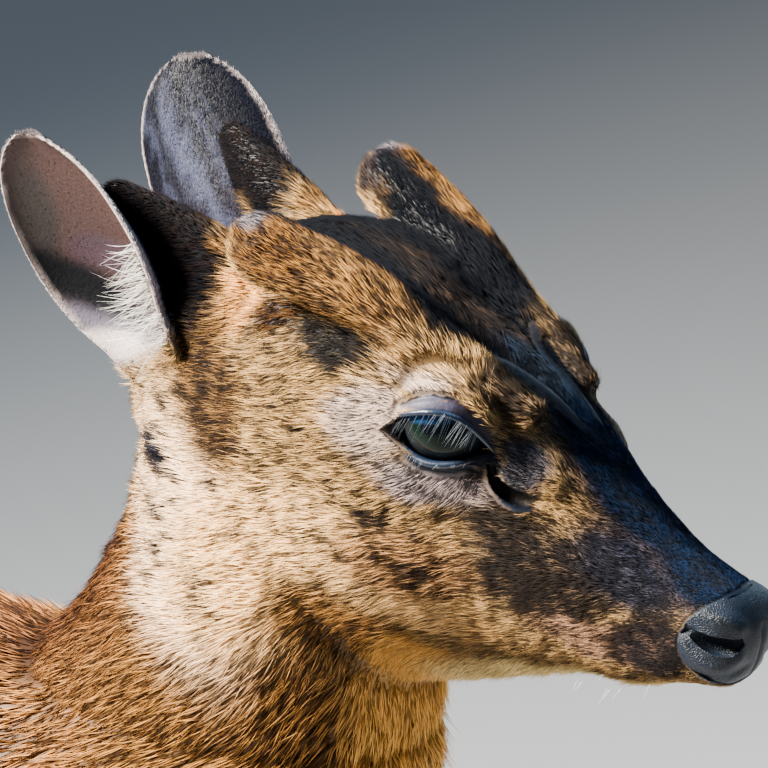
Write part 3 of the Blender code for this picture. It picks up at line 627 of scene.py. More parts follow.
COAT_PATCHES = (
    ("chestnut", (-370, 0, -33), (340, 46, 46), 0, 0.9),
    ("belly", (-380, 0, -258), (240, 50, 30), 0, 0.9),
    ("belly", (-575, 28, -213), (70, 22, 70), 0, 0.8),
    ("ochre", (-115, 0, -153), (40, 60, 90), 0, 0.7),
    ("shin", (-200, 55, -363), (34, 30, 90), 0, 0.7),
    ("shin", (-222, 47, -453), (60, 40, 75), 0, 0.9),
    ("shin", (-600, 55, -363), (44, 30, 90), 0, 0.6),
    ("shin", (-630, 47, -453), (60, 40, 75), 0, 0.9),
    ("belly", (-226, 32, -313), (40, 16, 70), 0, 0.7),
    ("rufous", (-662, 0, -133), (12, 26, 90), 0, 1),
    ("belly", (-646, 0, -143), (9, 26, 80), 0, 1),
    ("tan", (-150, 42, -60), (50, 34, 36), 0, 0.9),
    ("cream", (-170, 36, 0), (27, 24, 52), -24, 1),
    ("sand", (-148, 40, -8), (26, 22, 26), 30, 0.9),
    ("umber", (-210, 0, -18), (16, 18, 70), -16, 0.6),
    ("umber", (-230, 0, -73), (20, 26, 50), -20, 0.45),
    ("smoke", (-205, 8, -8), (10, 15, 48), -16, 0.45),
    ("ochre", (-112, 0, -50), (34, 32, 44), 0, 1),
    ("tan", (-118, 30, -22), (26, 20, 12), 24, 0.9),
    ("sand", (-122, 38, 8), (36, 24, 14), 22, 0.8),
    ("brindle", (-94, 32, 3), (26, 20, 15), 10, 1),
    ("gold", (-90, 25, -14), (24, 14, 7), 12, 1),
    # Painted bounce light: paler sand on the lower cheek and a brighter ochre on the upper throat, over their own gold
    # and ochre, lifting places that lie in shade.
    ("sand", (-94, 27, -13), (18, 12, 6), 12, 0.7),
    ("ochre", (-104, 20, -30), (16, 16, 10), 0, 1),
    ("dusk", (-58, 22, 4), (26, 14, 17), 28, 1),
    ("dusk", (-68, 26, 19), (20, 12, 9), 20, 0.9),
    ("muzzle", (-34, 16, 10), (22, 10, 13), 34, 1),
    ("lip", (-44, 18, -12), (20, 9, 7), 6, 0.95),
    ("lip_front", (-25, 16, -11), (14, 10, 11), 0, 0.95),
    ("chin", (-66, 0, -32), (58, 24, 9), 0, 1),
    ("chin", (-30, 0, -27), (26, 15, 7), 0, 1),
    ("brow", (-112, 32, 80), (46, 15, 15), 33, 1),
    ("fawn", (-92, 27, 64), (16, 12, 9), 30, 0.85),
    ("stub", (-138, 38, 90), (18, 14, 13), 30, 1),
    ("ring", (-105, 35, 45), (12, 12, 11), 20, 0.8),
    ("ring", (-92, 33, 58), (13, 10, 4.5), 10, 0.75),
    ("under_eye", (-87, 32, 31), (20, 12, 7), 6, 0.95),
    ("tan", (-158, 37, 46), (14, 12, 28), -12, 0.75),
    ("mocha", (-158, 37, 44), (12, 14, 26), -14, 0.6),
    ("umber", (-172, 29, 75), (18, 17, 24), 0, 1),
    ("umber", (-196, 0, 62), (24, 34, 22), 0, 0.95),
    ("umber", (-190, 26, 92), (24, 24, 22), 0, 1),
    ("orange", (-151, 27, 72), (8, 14, 14), 0, 0.95),
    ("tan", (-160, 20, 84), (5, 8, 6), 0, 0.8),
    ("umber", (-175, 15, 86), (12, 11, 10), 0, 1),
    # Painted shadow in the hollow under the pedicle.
    ("pedicle_shadow", (-139, 30, 70), (9, 9, 5.5), 26, 1),
    # Painted shade in the hollow of the temple below the pedicle.
    ("temple_hollow_shade", (-119, 32, 65), (15, 10, 6.5), 14, 0.95),
    ("tick", (-96, 0, 71), (34, 15, 16), 38, 1),
    ("tick", (-120, 0, 80), (20, 10, 12), 20, 1),
    ("stripe", (-140, 0, 89), (22, 17, 14), 10, 0.95),
    # Dark hair of the bridge and nose top, tinted blue as painted sky sheen.
    ("slate_with_sky_sheen", (-42, 0, 31), (54, 20, 16), 38, 1),
    ("slate_with_sky_sheen", (-14, 0, 6), (20, 20, 14), 30, 1),
    # Ticked hair of the forehead, tinted blue as painted sky sheen.
    ("tick_with_sky_sheen", (-72, 0, 56), (16, 13, 9), 38, 0.85),
    ("dusk", (-72, 19, 54), (13, 10, 11), 38, 0.8),
    # Painted sky sheen: blue-tinted dark hair at the inner corner of the eye.
    ("slate_with_sky_sheen", (-76.5, 26, 37), (5, 9, 4.5), 0, 0.9),
    # The gland mound: dark hair painted blue-grey as sky sheen on its top.
    ("mound_with_sky_sheen", (-63, 22, 36), (9, 8, 8), 20, 0.9),
    ("ash", (-147, 24, 96), (14, 8, 13), 0, 1),
    ("silver", (-145, 35, 98), (6.5, 7, 5.5), 0, 0.95),
    ("fleck", (-103, 35, 17), (7, 9, 3), 14, 0.75),
    ("fleck", (-95, 31, 1), (7, 9, 3), 20, 0.7),
    ("smoke", (-180, 33, 20), (6.5, 9, 6.5), 0, 1),
    ("smoke", (-181, 33, 3), (4, 9, 5), 0, 0.6),
    ("smoke", (-160, 38, -14), (3.5, 9, 6), 0, 0.5),
)
# Where the cheek and neck are scattered with dark flecks: centre, radii, size of the flecks and seed.
FLECKED = (
    ((-138, 38, 48), (34, 20, 26), 5.5, 31),
    ((-108, 34, 14), (40, 20, 26), 7.0, 32),
    ((-166, 36, 6), (30, 24, 50), 7.5, 33),
)
TONE_BASE = ("rufous", "bracken", "fawn")
STRIPE_LINE = head_points(
    ((-150, 8, 88), (-136, 13, 88), (-122, 14.5, 86), (-108, 15, 80), (-96, 14.5, 73), (-86, 13.5, 66), (-76, 11.5, 59))
)
STUB_STRIPE = head_points(((-112, 14, 82), (-124, 19, 90), (-136, 23.5, 97), (-146, 27, 103)))
STRIPE_HALF = 11.2
STUB_STRIPE_HALF = 7


def ear_frame(share):
    """The middle of the ear at a share of its length, with the ways along, out of and across the cup."""
    share = np.asarray(share, float)[..., None]
    bend = 2 * EAR_MIDDLE - (EAR_ROOT + EAR_TIP) / 2
    centre = EAR_ROOT * (1 - share) ** 2 + 2 * bend * share * (1 - share) + EAR_TIP * share**2
    along = unit(EAR_TIP - EAR_ROOT + (2 * share - 1) * 2 * (EAR_ROOT + EAR_TIP - 2 * EAR_MIDDLE))
    facing = unit(EAR_FACING - along * (along @ EAR_FACING)[..., None])
    return centre, along, facing, np.cross(along, facing)


def ear_place(points):
    """For points folded to the left: share along the ear, way across it, and how deep in its cup."""
    shares = np.linspace(0, 1, 41)
    centre, along, facing, across = ear_frame(shares)
    away = np.linalg.norm(points[:, None, :] - centre[None], axis=2)
    nearest = away.argmin(axis=1)
    offset = points - centre[nearest]
    side = (offset * across[nearest]).sum(axis=1)
    front = (offset * facing[nearest]).sum(axis=1)
    share = shares[nearest] + (offset * along[nearest]).sum(axis=1) * (nearest == 40) / 60
    return share, side, front, along[nearest], facing[nearest]


def ear_form(side):
    """The ear as a thin cup with rounded edges."""
    angles = np.sin(np.linspace(-math.pi / 2, math.pi / 2, 37))
    rings = []
    for share, half, depth, opened in smooth_rows(EAR_SECTIONS, 7):
        centre, _, facing, across = ear_frame(share)
        wall = min(EAR_WALL, depth * 0.8)
        bowl = (1 - angles**2)[:, None] ** EAR_BOWL
        back = centre + np.outer(angles, across) * half - facing * depth * bowl
        inner = centre + facing * wall * 0.35
        inner = inner + np.outer(angles, across) * (half - wall * 0.5) - facing * (depth - wall) * opened * bowl
        rings.append(np.vstack([back, inner[::-1]]))
    return loft("ear_form", mirrored(rings, side))


def on_ear(place):
    """How much a point belongs to the free part of an ear."""
    share, side, front, _, _ = ear_place(place)
    half, depth = ear_size(share)
    bowl = np.clip(1 - (side / half) ** 2, 0, 1) ** EAR_BOWL
    within = 1 - ramp(np.abs(side) / (half + 2), 1.0, 1.2)
    behind = ramp(-front - depth * bowl, 3.2, 1.4) * ramp(front, 8, 4)
    return ramp(share, 0.01, 0.10) * within * behind


def ear_size(share):
    """Half width and cup depth of the ear at shares of its length."""
    rows = np.array(EAR_SECTIONS)
    return np.interp(share, rows[:, 0], rows[:, 1]), np.interp(share, rows[:, 0], rows[:, 2])


def in_cup(place, normals):
    """How much a point lies on the hollow side of an ear, with normals already folded to the left."""
    facing = ear_place(place)[4]
    return ramp((normals * facing).sum(axis=1), 0.0, 0.35) * on_ear(place)


def tuft_size(points):
    """Length, width, closeness and lift of the tufts at each point."""
    place = folded(points)
    size = layered(place, TUFT_BASE, TUFT_PATCHES)
    share = on_ear(place)[:, None]
    return size * (1 - share) + np.array(TUFT_ON_EAR) * share


def inset(piece):
    """Sinks the skin under the outline of the coat by the depth of the tufts."""
    points, normals = points_of(piece)
    size = tuft_size(points)
    return moved(piece, points - normals * (size[:, 0] * size[:, 3])[:, None])


def sculpted(piece, line, height, width):
    """Raises or sinks the skin along a line on both sides of the head."""
    points, normals = points_of(piece)
    away, share = distance_to(folded(points), line)
    ends = np.sin(np.clip(share, 0.02, 0.98) * math.pi) ** 0.5
    return moved(piece, points + normals * (height * ends * np.exp(-((away / width) ** 2)))[:, None])


def lid_loop(lift=0.0, reach=0.0):
    """The edge of the lid opening, all the way round, spread by reach across the gaze and lifted along it."""
    upper = smooth_rows(head_points(LID_UPPER), 4)
    lower = smooth_rows(head_points(LID_LOWER), 4)
    loop = np.vstack([upper, lower[-2:0:-1]])
    middle = loop.mean(axis=0)
    outwards = loop - middle
    outwards -= np.outer(outwards @ EYE_GAZE, EYE_GAZE)
    return loop + unit(outwards) * reach + EYE_GAZE * lift


def lid_opening(side):
    rings = [lid_loop(-14, 0.2), lid_loop(0, 0.2), lid_loop(12, 2.0)]
    return loft("opening", mirrored(rings, side))


def head_skin():
    pieces = [upright_loft("head_form", HEAD_SECTIONS, NOSE_HEIGHT), limb("neck_form", NECK_STATIONS, around=56)]
    for side, _ in SIDES:
        for centre, radii, lean in FACE_MASSES:
            pieces.append(ball("mass", centre, radii, side, lean))
        pieces.append(limb("pedicle_form", PEDICLE_STATIONS, side, round_end=True))
        pieces.append(limb("ear_base_form", EAR_BASE_STATIONS, side, round_end=True))
    head = inset(fused("head_skin", pieces, HEAD_VOXEL, 26))
    pieces = [head]
    for side, _ in SIDES:
        pieces.append(ball("lid_dome", EYE_CENTRE, [EYE_RADIUS + GAP + LID_THICKNESS] * 3, side))
    head = fused("head_skin", pieces, HEAD_VOXEL, 4)
    sculpted(head, LID_FOLD, -1.1, 1.1)
    sculpted(head, LID_FOLD + (0, 0, 2.6), 0.7, 1.8)
    sculpted(head, head_points(GLAND_SLIT) + (0, 0.5, -2.6), 1.0, 1.8)
    sculpted(head, head_points(GLAND_SLIT)[:3] + (4.5, -0.5, 3.0), 0.9, 2.6)
    sculpted(head, head_points(FRONTAL_RIDGE), 1.2, 1.7)
    sculpted(head, head_points(FRONTAL_RIDGE) + RIDGE_GROOVE, -1.5, 1.4)
    sculpted(head, head_points(MOUTH_LINE) + (0, 0.5, 2.2), 0.5, 1.8)
    sculpted(head, head_points(MOUTH_LINE) + (0, 0.5, -2.4), 0.4, 1.6)
    for side, _ in SIDES:
        combined(head, [ear_form(side)], "UNION")
        cutters = [
            ball("socket", EYE_CENTRE, [EYE_RADIUS + GAP] * 3, side),
            lid_opening(side),
            tube("gland", head_points(GLAND_SLIT), GLAND_RADII, side),
            tube("mouth", head_points(MOUTH_LINE), [MOUTH_RADIUS] * len(MOUTH_LINE), side),
        ]
        combined(head, cutters, "DIFFERENCE")
    combined(head, [ball("nose_room", NOSE_PAD_CENTRE, np.array(NOSE_PAD_RADII) - (0.8, 0, 0.8))], "DIFFERENCE")
    return head


LID_FOLD = smooth_rows(
    head_points(((-102.5, 30.2, 49), (-97.5, 33.2, 52.1), (-90, 33.7, 56.1), (-81.5, 31.2, 55.5), (-76.3, 28.2, 50.4))), 3
)


def body_skin():
    pieces = [upright_loft("trunk_form", TRUNK_SECTIONS, 0), limb("neck_form", NECK_STATIONS, around=56)]
    for side, _ in SIDES:
        pieces.append(limb("haunch_form", HIND_LEG_STATIONS[:5], side))
        for centre, radii, lean in MUSCLES:
            pieces.append(ball("muscle", centre, radii, side, lean))
    pieces = [fused("body_skin", pieces, BODY_VOXEL, 17)]
    for side, _ in SIDES:
        pieces.append(limb("front_leg_form", FRONT_LEG_STATIONS, side))
        pieces.append(limb("hind_leg_form", HIND_LEG_STATIONS[2:], side))
    pieces.append(limb("tail_form", TAIL_STATIONS, round_end=True))
    body = inset(fused("body_skin", pieces, BODY_VOXEL, 4))
    body = fused("body_skin", [body], BODY_VOXEL, 3)
    low, high = (-900, -300, -50), (300, 300, HOOF_HEIGHT - 0.5)
    return combined(body, [block("ground_side", low, high)], "DIFFERENCE")


def make_skin():
    """One skin over the whole animal. The head's neck dips under the body's just above the shoulders."""
    head, body = head_skin(), body_skin()
    points, normals = points_of(head)
    dip = ramp(points[:, 2], NECK_JOIN + 8, NECK_JOIN - 12)
    moved(head, points - normals * dip[:, None] * 5)
    points, normals = points_of(body)
    dip = ramp(points[:, 2], NECK_JOIN - 8, NECK_JOIN + 12) * ramp(points[:, 0], -300, -280)
    moved(body, points - normals * dip[:, None] * 5)
    skin = combined(head, [body], "UNION")
    skin.name = "skin"
    skin.data.name = "skin"
    return skin


def toned(colour, tone, weight):
    """Lays a tone over colours by weight."""
    weight = weight[:, None]
    return colour * (1 - weight) + np.array(TONE[tone]) * weight


def markings(points, normals):
    """The coat's light colour, and its share of dark hair, at each point of the skin."""
    place = folded(points)
    wander = np.column_stack([ripple(points, 26, seed) for seed in (3, 4, 5)]) * 1.6
    wander += np.column_stack([ripple(points, 7, seed) for seed in (6, 7, 8)]) * 0.7
    wander *= ramp(-points[:, 0], 5, 60)[:, None]
    patches = [(TONE[tone], *rest) for tone, *rest in COAT_PATCHES]
    colour = layered(place + wander, [TONE[tone] for tone in TONE_BASE], patches)
    away, share = distance_to(place + wander * 0.6, STRIPE_LINE)
    half = STRIPE_HALF * (1 - 0.45 * ramp(share, 0.6, 1.0))
    stripe = (1 - ramp(away, half * 0.7, half * 1.15)) * (1 - 0.6 * ramp(share, 0.8, 1.0))
    away, _ = distance_to(place + wander * 0.4, STUB_STRIPE)
    stripe = np.maximum(stripe, 1 - ramp(away, STUB_STRIPE_HALF * 0.6, STUB_STRIPE_HALF * 1.2))
    colour = toned(colour, "stripe", stripe)
    for centre, radii, size, seed in FLECKED:
        specks = ramp(ripple(points * (1, 1, 1.5), size, seed), 0.72, 0.98)
        colour = toned(colour, "fleck", specks * near(place, head_points(centre), radii) * 0.8)
    return ear_markings(place, normals, colour)


# Tones inside the cup of the ear: centre measured from the nose tip, radii, strength.
CUP_PATCHES = (
    ("ear_grey", (-223, 31, 80), (8, 12, 24), 0.8),
    # Pinker bare skin above the canal, its purple tint a painted highlight.
    ("ear_pink_and_highlight", (-203, 27, 73), (13, 12, 6.5), 0.9),
    # Painted light: the cup's lower part is painted paler and bluer, and its lower rim pale, where light falls on them.
    ("ear_low_lit", (-204, 31, 51), (26, 14, 9), 0.85),
    ("ear_rim", (-196, 33, 47), (16, 14, 5), 0.8),
)
# Painted shade: the hollow of the ear canal is painted dark along this line, to this half width.
EAR_CANAL_SHADE_LINE = head_points(((-223, 31, 66), (-217, 28, 64), (-208, 26, 61.5), (-199, 27, 58.5), (-192, 29, 56.5)))
CANAL_SHADE_HALF = 6
# Paler streaks of painted sheen on the back of the ear: where they cross its middle, width and strength.
EAR_SHEEN_STREAKS = ((0.16, 0.16, 1.0), (-0.26, 0.08, 0.55), (0.60, 0.08, 0.5), (-0.52, 0.06, 0.35))


def ear_markings(place, normals, colour):
    """Dark backs with paler slanting streaks of painted sheen, pale rims and a bare cup on the ears, with painted shade
    down the canal and painted light on the cup's lower part.
    """
    share, side, _, _, _ = ear_place(place)
    half, _ = ear_size(share)
    across = side / np.maximum(half, 1)
    free, cup = on_ear(place), in_cup(place, normals)
    back = colour * 0 + np.array(TONE["ear_back"])
    back = toned(back, "ear_brown", ramp(share, 0.62, 0.30))
    fade = ramp(share, 0.12, 0.35) * ramp(share, 0.98, 0.72)
    wander = 0.06 * ripple(place * (1, 1, 0.5), 16, 91) + 0.05 * ripple(place * (1, 1, 0.3), 5, 92)
    # Painted sheen: paler slanting streaks where light catches the short hair of the ear's back.
    for middle, width, strength in EAR_SHEEN_STREAKS:
        streak = np.exp(-(((across - middle - (share - 0.5) * 0.95 + wander) / width) ** 2))
        back = toned(back, "ear_sheen_streak", streak * strength * fade)
    colour = colour * (1 - free[:, None]) + back * free[:, None]
    inside = colour * 0 + np.array(TONE["ear_cup"])
    for tone, centre, radii, strength in CUP_PATCHES:
        inside = toned(inside, tone, near(place, head_points(centre), radii) * strength)
    # Painted shade down the hollow of the canal.
    away, _ = distance_to(place, EAR_CANAL_SHADE_LINE)
    inside = toned(inside, "ear_canal_shade", 1 - ramp(away + 0.8 * wander, CANAL_SHADE_HALF * 0.6, CANAL_SHADE_HALF * 1.4))
    colour = colour * (1 - cup[:, None]) + inside * cup[:, None]
    edge = np.maximum(ramp(np.abs(across), 0.92, 1.0), ramp(share, 0.965, 0.995))
    edge = np.maximum(edge, ramp(-across, 0.86, 0.96) * cup * ramp(share, 0.95, 0.6) * 0.6)
    return toned(colour, "ear_rim", edge * free * 0.9)


# From the inner corner of the eye down to the gland.
INNER_CHANNEL = head_points(((-76, 26.0, 39.5), (-73.2, 25.2, 37.5), (-71.8, 25.6, 33.0)))


def bare_lines():
    """Bare places of the face: tone, the line that each follows, and its half width in the middle."""
    upper, lower = smooth_rows(head_points(LID_UPPER), 3), smooth_rows(head_points(LID_LOWER), 3)
    slit, ridge = smooth_rows(head_points(GLAND_SLIT), 3), smooth_rows(head_points(FRONTAL_RIDGE), 3)
    return (
        ("lid_dark", upper[7:] + (0, -0.3, 2.2), 2.6),
        ("lid", upper[1:10] + (0, -0.5, 2.0), 2.3),
        ("lid_low", upper, 1.1),
        ("lid_low", lower + (0, 0.1, -1.4), 2.7),
        ("lid_low", INNER_CHANNEL, 2.7),
        ("crease", LID_FOLD[2:-1], 0.7),
        ("gland_rim", slit[3:] + (0, 0.4, -2.4), 1.5),
        ("gland", slit, 2.7),
        ("ridge", ridge, 1.9),
        ("gland", ridge[1:] + RIDGE_GROOVE, 1.3),
        ("lip_skin", smooth_rows(head_points(MOUTH_LINE), 3), 1.0),
    )


def bare_places(points):
    """How bare each point is, and the colour of its bare skin."""
    place = folded(points)
    shown = np.zeros(len(place))
    colour = np.zeros((len(place), 4)) + np.array(TONE["lid_low"])
    for tone, line, half in bare_lines():
        away, share = distance_to(place, line)
        half = half * (0.45 + 0.55 * np.sin(np.clip(share, 0, 1) * math.pi) ** 0.5)
        weight = 1 - ramp(away, half * 0.75, half * 1.35)
        colour = toned(colour, tone, np.where(shown > 0.5, weight, weight > 0))
        shown = np.maximum(shown, weight)
    ball_away = np.linalg.norm(place - EYE_CENTRE, axis=1)
    shown = np.maximum(shown, ball_away < EYE_RADIUS + 1.3)
    pad = (place - np.array(NOSE_PAD_CENTRE)) / (np.array(NOSE_PAD_RADII) + 0.1)
    return np.maximum(shown, (pad**2).sum(axis=1) < 1), colour


def fold_normals(points, normals):
    turned = normals.copy()
    turned[:, 1] *= np.where(points[:, 1] < 0, -1, 1)
    return turned


def hair_way(points, normals):
    """The way the hair lies along the skin at each point."""
    place = folded(points)
    way = unit(layered(place, LIE_BASE, LIE_PATCHES))
    outwards = place - EYE_CENTRE
    away = np.linalg.norm(outwards, axis=1)
    fan = (1 - ramp(away, 15, 15 + EYE_FAN))[:, None] * (place[:, :1] < -76)
    way = way + unit(outwards) * fan * 1.3
    along = ear_place(place)[3]
    share = on_ear(place)[:, None]
    way = way * (1 - share) + along * share
    way += np.column_stack([ripple(points, 17, seed) for seed in (21, 22, 23)]) * 0.13
    way += np.column_stack([ripple(points, 5, seed) for seed in (24, 25, 26)]) * 0.10
    way[:, 1] *= np.where(points[:, 1] < 0, -1, 1)
    way -= normals * (way * normals).sum(axis=1)[:, None]
    return unit(way)


# Regions of the coat for its pieces: name, the axis that its skin is unrolled about, and what it holds.
REGIONS = (
    ("ears", EAR_ROOT, EAR_TIP),
    ("legs_front", (-216, 47, 282), (-200, 47, 20)),
    ("legs_hind", (-560, 50, 318), (-612, 47, 20)),
    ("tail", (-650, 0, 440), (-660, 0, 300)),
    ("muzzle", (-4, 0, 503), (-72, 0, 523)),
    ("face", (-72, 0, 530), (-112, 0, 535)),
    ("crown", (-112, 0, 560), (-205, 0, 560)),
    ("cheek", (-112, 0, 520), (-190, 0, 540)),
    ("neck", (-160, 0, 530), (-215, 0, 420)),
    ("trunk", (-104, 0, 360), (-650, 0, 370)),
)


def region_of(points):
    """The number of the region that each point belongs to."""
    place = folded(points)
    x, y, z = place.T
    share, side, front, _, _ = ear_place(place)
    on_head = head_seam(place) > 0
    tests = (
        (share > 0.16) & (np.abs(side) < 30) & (np.abs(front) < 20),
        (x > -276) & (z < 282) & (y > 26) & (x < -160),
        (x < -474) & (z < 318) & (y > 22),
        (x < -640) & (z < 425) & (y < 24),
        on_head & (x > -62),
        on_head & (x > -100),
        on_head & (z > NOSE_HEIGHT + 45),
        on_head,
        neck_seam(place) > 0,
        np.full(len(x), True),
    )
    number = np.full(len(x), -1)
    for i, test in enumerate(tests):
        number = np.where((number < 0) & test, i, number)
    return number


def unrolled(points, region):
    """Places on the skin's own unwrap: round the region's axis, and along it. Each side has its own half."""
    _, start, end = REGIONS[region]
    start, end = np.array(start, float), np.array(end, float)
    place = folded(points) if abs(start[1]) > 1 else points
    way = unit(end - start)
    first = unit(np.cross(way, (0.02, 0.99, 0.1)))
    second = np.cross(way, first)
    offset = place - start
    along = (offset @ way) / np.linalg.norm(end - start)
    around = np.arctan2(offset @ second, offset @ first) / (2 * math.pi) + 0.5
    if abs(start[1]) > 1:
        around = around / 2 + np.where(points[:, 1] < 0, 0.5, 0)
    return np.column_stack([around, 0.08 + 0.84 * np.clip(along, -0.08, 1.08)])


def scattered(skin, count, chance):
    """Roots spread over the skin, closer where tufts are small, with normals, regions left bare skipped."""
    mesh = skin.data
    mesh.calc_loop_triangles()
    corners = np.empty(len(mesh.loop_triangles) * 3, np.int32)
    mesh.loop_triangles.foreach_get("vertices", corners)
    corners = corners.reshape(-1, 3)
    points, normals = points_of(skin)
    a, b, c = (points[corners[:, i]] for i in range(3))
    area = np.linalg.norm(np.cross(b - a, c - a), axis=1) / 2
    middle = (a + b + c) / 3
    size = tuft_size(middle)
    cup = in_cup(folded(middle), fold_normals(middle, unit(np.cross(b - a, c - a))))
    weight = area * (1 - bare_places(middle)[0]) * size[:, 2] * (1 - 0.93 * cup) / (size[:, 0] * size[:, 1])
    picked = chance.choice(len(area), count, p=weight / weight.sum())
    u, v = chance.random((2, count))
    over = u + v > 1
    u, v = np.where(over, 1 - u, u), np.where(over, 1 - v, v)
    w = 1 - u - v
    n = [normals[corners[picked, i]] for i in range(3)]
    roots = a[picked] * w[:, None] + b[picked] * u[:, None] + c[picked] * v[:, None]
    return roots, unit(n[0] * w[:, None] + n[1] * u[:, None] + n[2] * v[:, None])


def make_coat(skin):
    """Tufts over the whole skin, in one piece for each region."""
    chance = np.random.default_rng(41)
    roots, normals = scattered(skin, COAT_TUFTS, chance)
    size = tuft_size(roots)
    keep = chance.random(len(roots)) > bare_places(roots)[0]
    roots, normals, size = roots[keep], normals[keep], size[keep]
    way = hair_way(roots, normals)
    side = unit(np.cross(normals, way))
    turn = chance.normal(0, 0.12, len(roots))[:, None]
    way = unit(way + side * turn)
    lift = size[:, 3] * np.clip(chance.normal(1.0, 0.30, len(roots)), 0.25, 1.9) * (1 + 0.3 * ripple(roots, 6, 31))
    way = unit(way * np.sqrt(1 - lift**2)[:, None] + normals * lift[:, None])
    length = size[:, 0] * np.clip(chance.normal(1.0, 0.22, len(roots)), 0.45, 1.7)
    width = size[:, 1] * chance.uniform(0.7, 1.25, len(roots))
    side = unit(np.cross(normals, way))
    up = np.cross(way, side)
    colour = markings(roots, fold_normals(roots, normals))
    fleck = 0.16 * ripple(roots * (0.45, 1, 1.3), 9, 51) + 0.30 * ripple(roots * (0.40, 1.1, 1.4), 3.6, 52)
    colour[:, 3] = np.clip(colour[:, 3] + fleck * (0.15 + colour[:, 3]) * (1 - colour[:, 3] * 0.5), 0.0, 0.95)
    luck = chance.random((len(roots), 2))
    sunk = roots - normals * 0.25 * width[:, None]
    half = side * width[:, None] / 2
    base = sunk[:, None, :] + np.stack([-half, half, up * width[:, None] * TUFT_HEIGHT], 1)
    tip = roots + way * length[:, None]
    points = np.concatenate([base, tip[:, None, :]], axis=1)
    regions = region_of(roots)
    pieces = []
    for number, (name, _, _) in enumerate(REGIONS):
        for half, half_name in SIDES:
            chosen = (regions == number) & ((roots[:, 1] >= 0) == (half > 0))
            pieces.append(
                tuft_piece("coat_" + name + "_" + half_name, points[chosen], colour[chosen], luck[chosen], roots[chosen], number)
            )
    return pieces


TUFT_HEIGHT = 0.36
TUFT_FACES = np.array(((0, 2, 1), (0, 1, 3), (1, 2, 3), (2, 0, 3)))
PATCH_SIZE = 0.003


def tuft_piece(name, points, colour, luck, roots, region):
    """Many tufts as one mesh: three points at each root and one at the tip."""
    count = len(points)
    mesh = bpy.data.meshes.new(name)
    faces = (np.arange(count)[:, None, None] * 4 + TUFT_FACES[None]).reshape(-1)
    mesh.vertices.add(count * 4)
    mesh.vertices.foreach_set("co", (points.reshape(-1, 3) * MM + SHIFT).ravel())
    mesh.loops.add(len(faces))
    mesh.loops.foreach_set("vertex_index", faces.astype(np.int32))
    mesh.polygons.add(count * 4)
    mesh.polygons.foreach_set("loop_start", np.arange(0, len(faces), 3, dtype=np.int32))
    unwrap = mesh.uv_layers.new(name="OFBake")
    centre = unrolled(roots, region)
    corner = np.array(((-0.5, -0.5), (0.5, -0.5), (0.0, 0.2), (0.0, 0.5))) * PATCH_SIZE
    places = (centre[:, None, :] + corner[TUFT_FACES.ravel()][None]).reshape(-1, 2)
    unwrap.data.foreach_set("uv", places.astype(np.float32).ravel())
    tone = mesh.attributes.new("marking", "FLOAT_COLOR", "POINT")
    tone.data.foreach_set("color", np.repeat(colour, 4, axis=0).astype(np.float32).ravel())
    hair = mesh.attributes.new("hair", "FLOAT_VECTOR", "POINT")
    along = np.tile((0.0, 0.0, 0.05, 1.0), count)
    both = np.repeat(luck, 4, axis=0)
    hair.data.foreach_set("vector", np.column_stack([both[:, 0], along, both[:, 1]]).astype(np.float32).ravel())
    mesh.update(calc_edges=True)
    mesh.validate()
    piece = bpy.data.objects.new(name, mesh)
    bpy.context.scene.collection.objects.link(piece)
    return piece


def strands(name, roots, ways, falls, lengths, widths, steps=4):
    """Single long hairs as thin three-sided tubes that bend towards their fall."""
    points, faces = [], []
    for root, way, fall, length, width in zip(roots, ways, falls, lengths, widths):
        first = len(points)
        way, fall = unit(np.array(way, float)), np.array(fall, float)
        side = unit(np.cross(way, fall + (0.01, 0.02, 0.03)))
        up = np.cross(side, way)
        for i in range(steps):
            t = i / steps
            centre = root + way * length * t + fall * length * t * t
            thick = width / 2 * (1 - t) ** 0.6
            for turn in (0, 2 * math.pi / 3, 4 * math.pi / 3):
                points.append(centre + (side * math.cos(turn) + up * math.sin(turn)) * thick)
        points.append(root + way * length + fall * length)
        for i in range(steps - 1):
            for j in range(3):
                k = (j + 1) % 3
                faces.append((first + i * 3 + j, first + i * 3 + k, first + i * 3 + 3 + k, first + i * 3 + 3 + j))
        last = first + (steps - 1) * 3
        for j in range(3):
            faces.append((last + j, last + (j + 1) % 3, first + steps * 3))
        faces.append((first + 2, first + 1, first))
    return mesh_piece(name, points, faces)


def make_eye(side, word):
    """The eyeball with its clear front bulging out a little."""
    eye = ball("eyeball_" + word, EYE_CENTRE, [EYE_RADIUS] * 3, side, rings=48)
    points, _ = points_of(eye)
    gaze, centre = mirrored(EYE_GAZE, side), mirrored(EYE_CENTRE, side)
    offset = points - centre
    aim = unit(offset) @ gaze
    bulge = np.clip((aim - math.cos(math.radians(44))) / (1 - math.cos(math.radians(44))), 0, 1)
    moved(eye, points + offset * (0.05 * bulge**0.8)[:, None])
    return eye


def make_lid_rims(side, word):
    """Bare rolled edges of the upper and lower lid, resting just off the eyeball."""
    made = []
    for line, radii, name in (
        (LID_UPPER, (0.4, 0.8, 1.0, 1.0, 0.95, 0.8, 0.4), "upper"),
        (LID_LOWER, (0.4, 0.9, 1.15, 1.2, 1.15, 0.9, 0.4), "lower"),
    ):
        path = head_points(line)
        away = path - EYE_CENTRE
        reach = np.maximum(np.linalg.norm(away, axis=1), EYE_RADIUS + 1.5 + np.array(radii) * 0.35)
        path = EYE_CENTRE + unit(away) * reach[:, None]
        made.append(tube("rim_" + name, path, radii, side, around=14, steps=6, flat=0.85))
    rim = joined("lid_rims_" + word, made)
    return rim


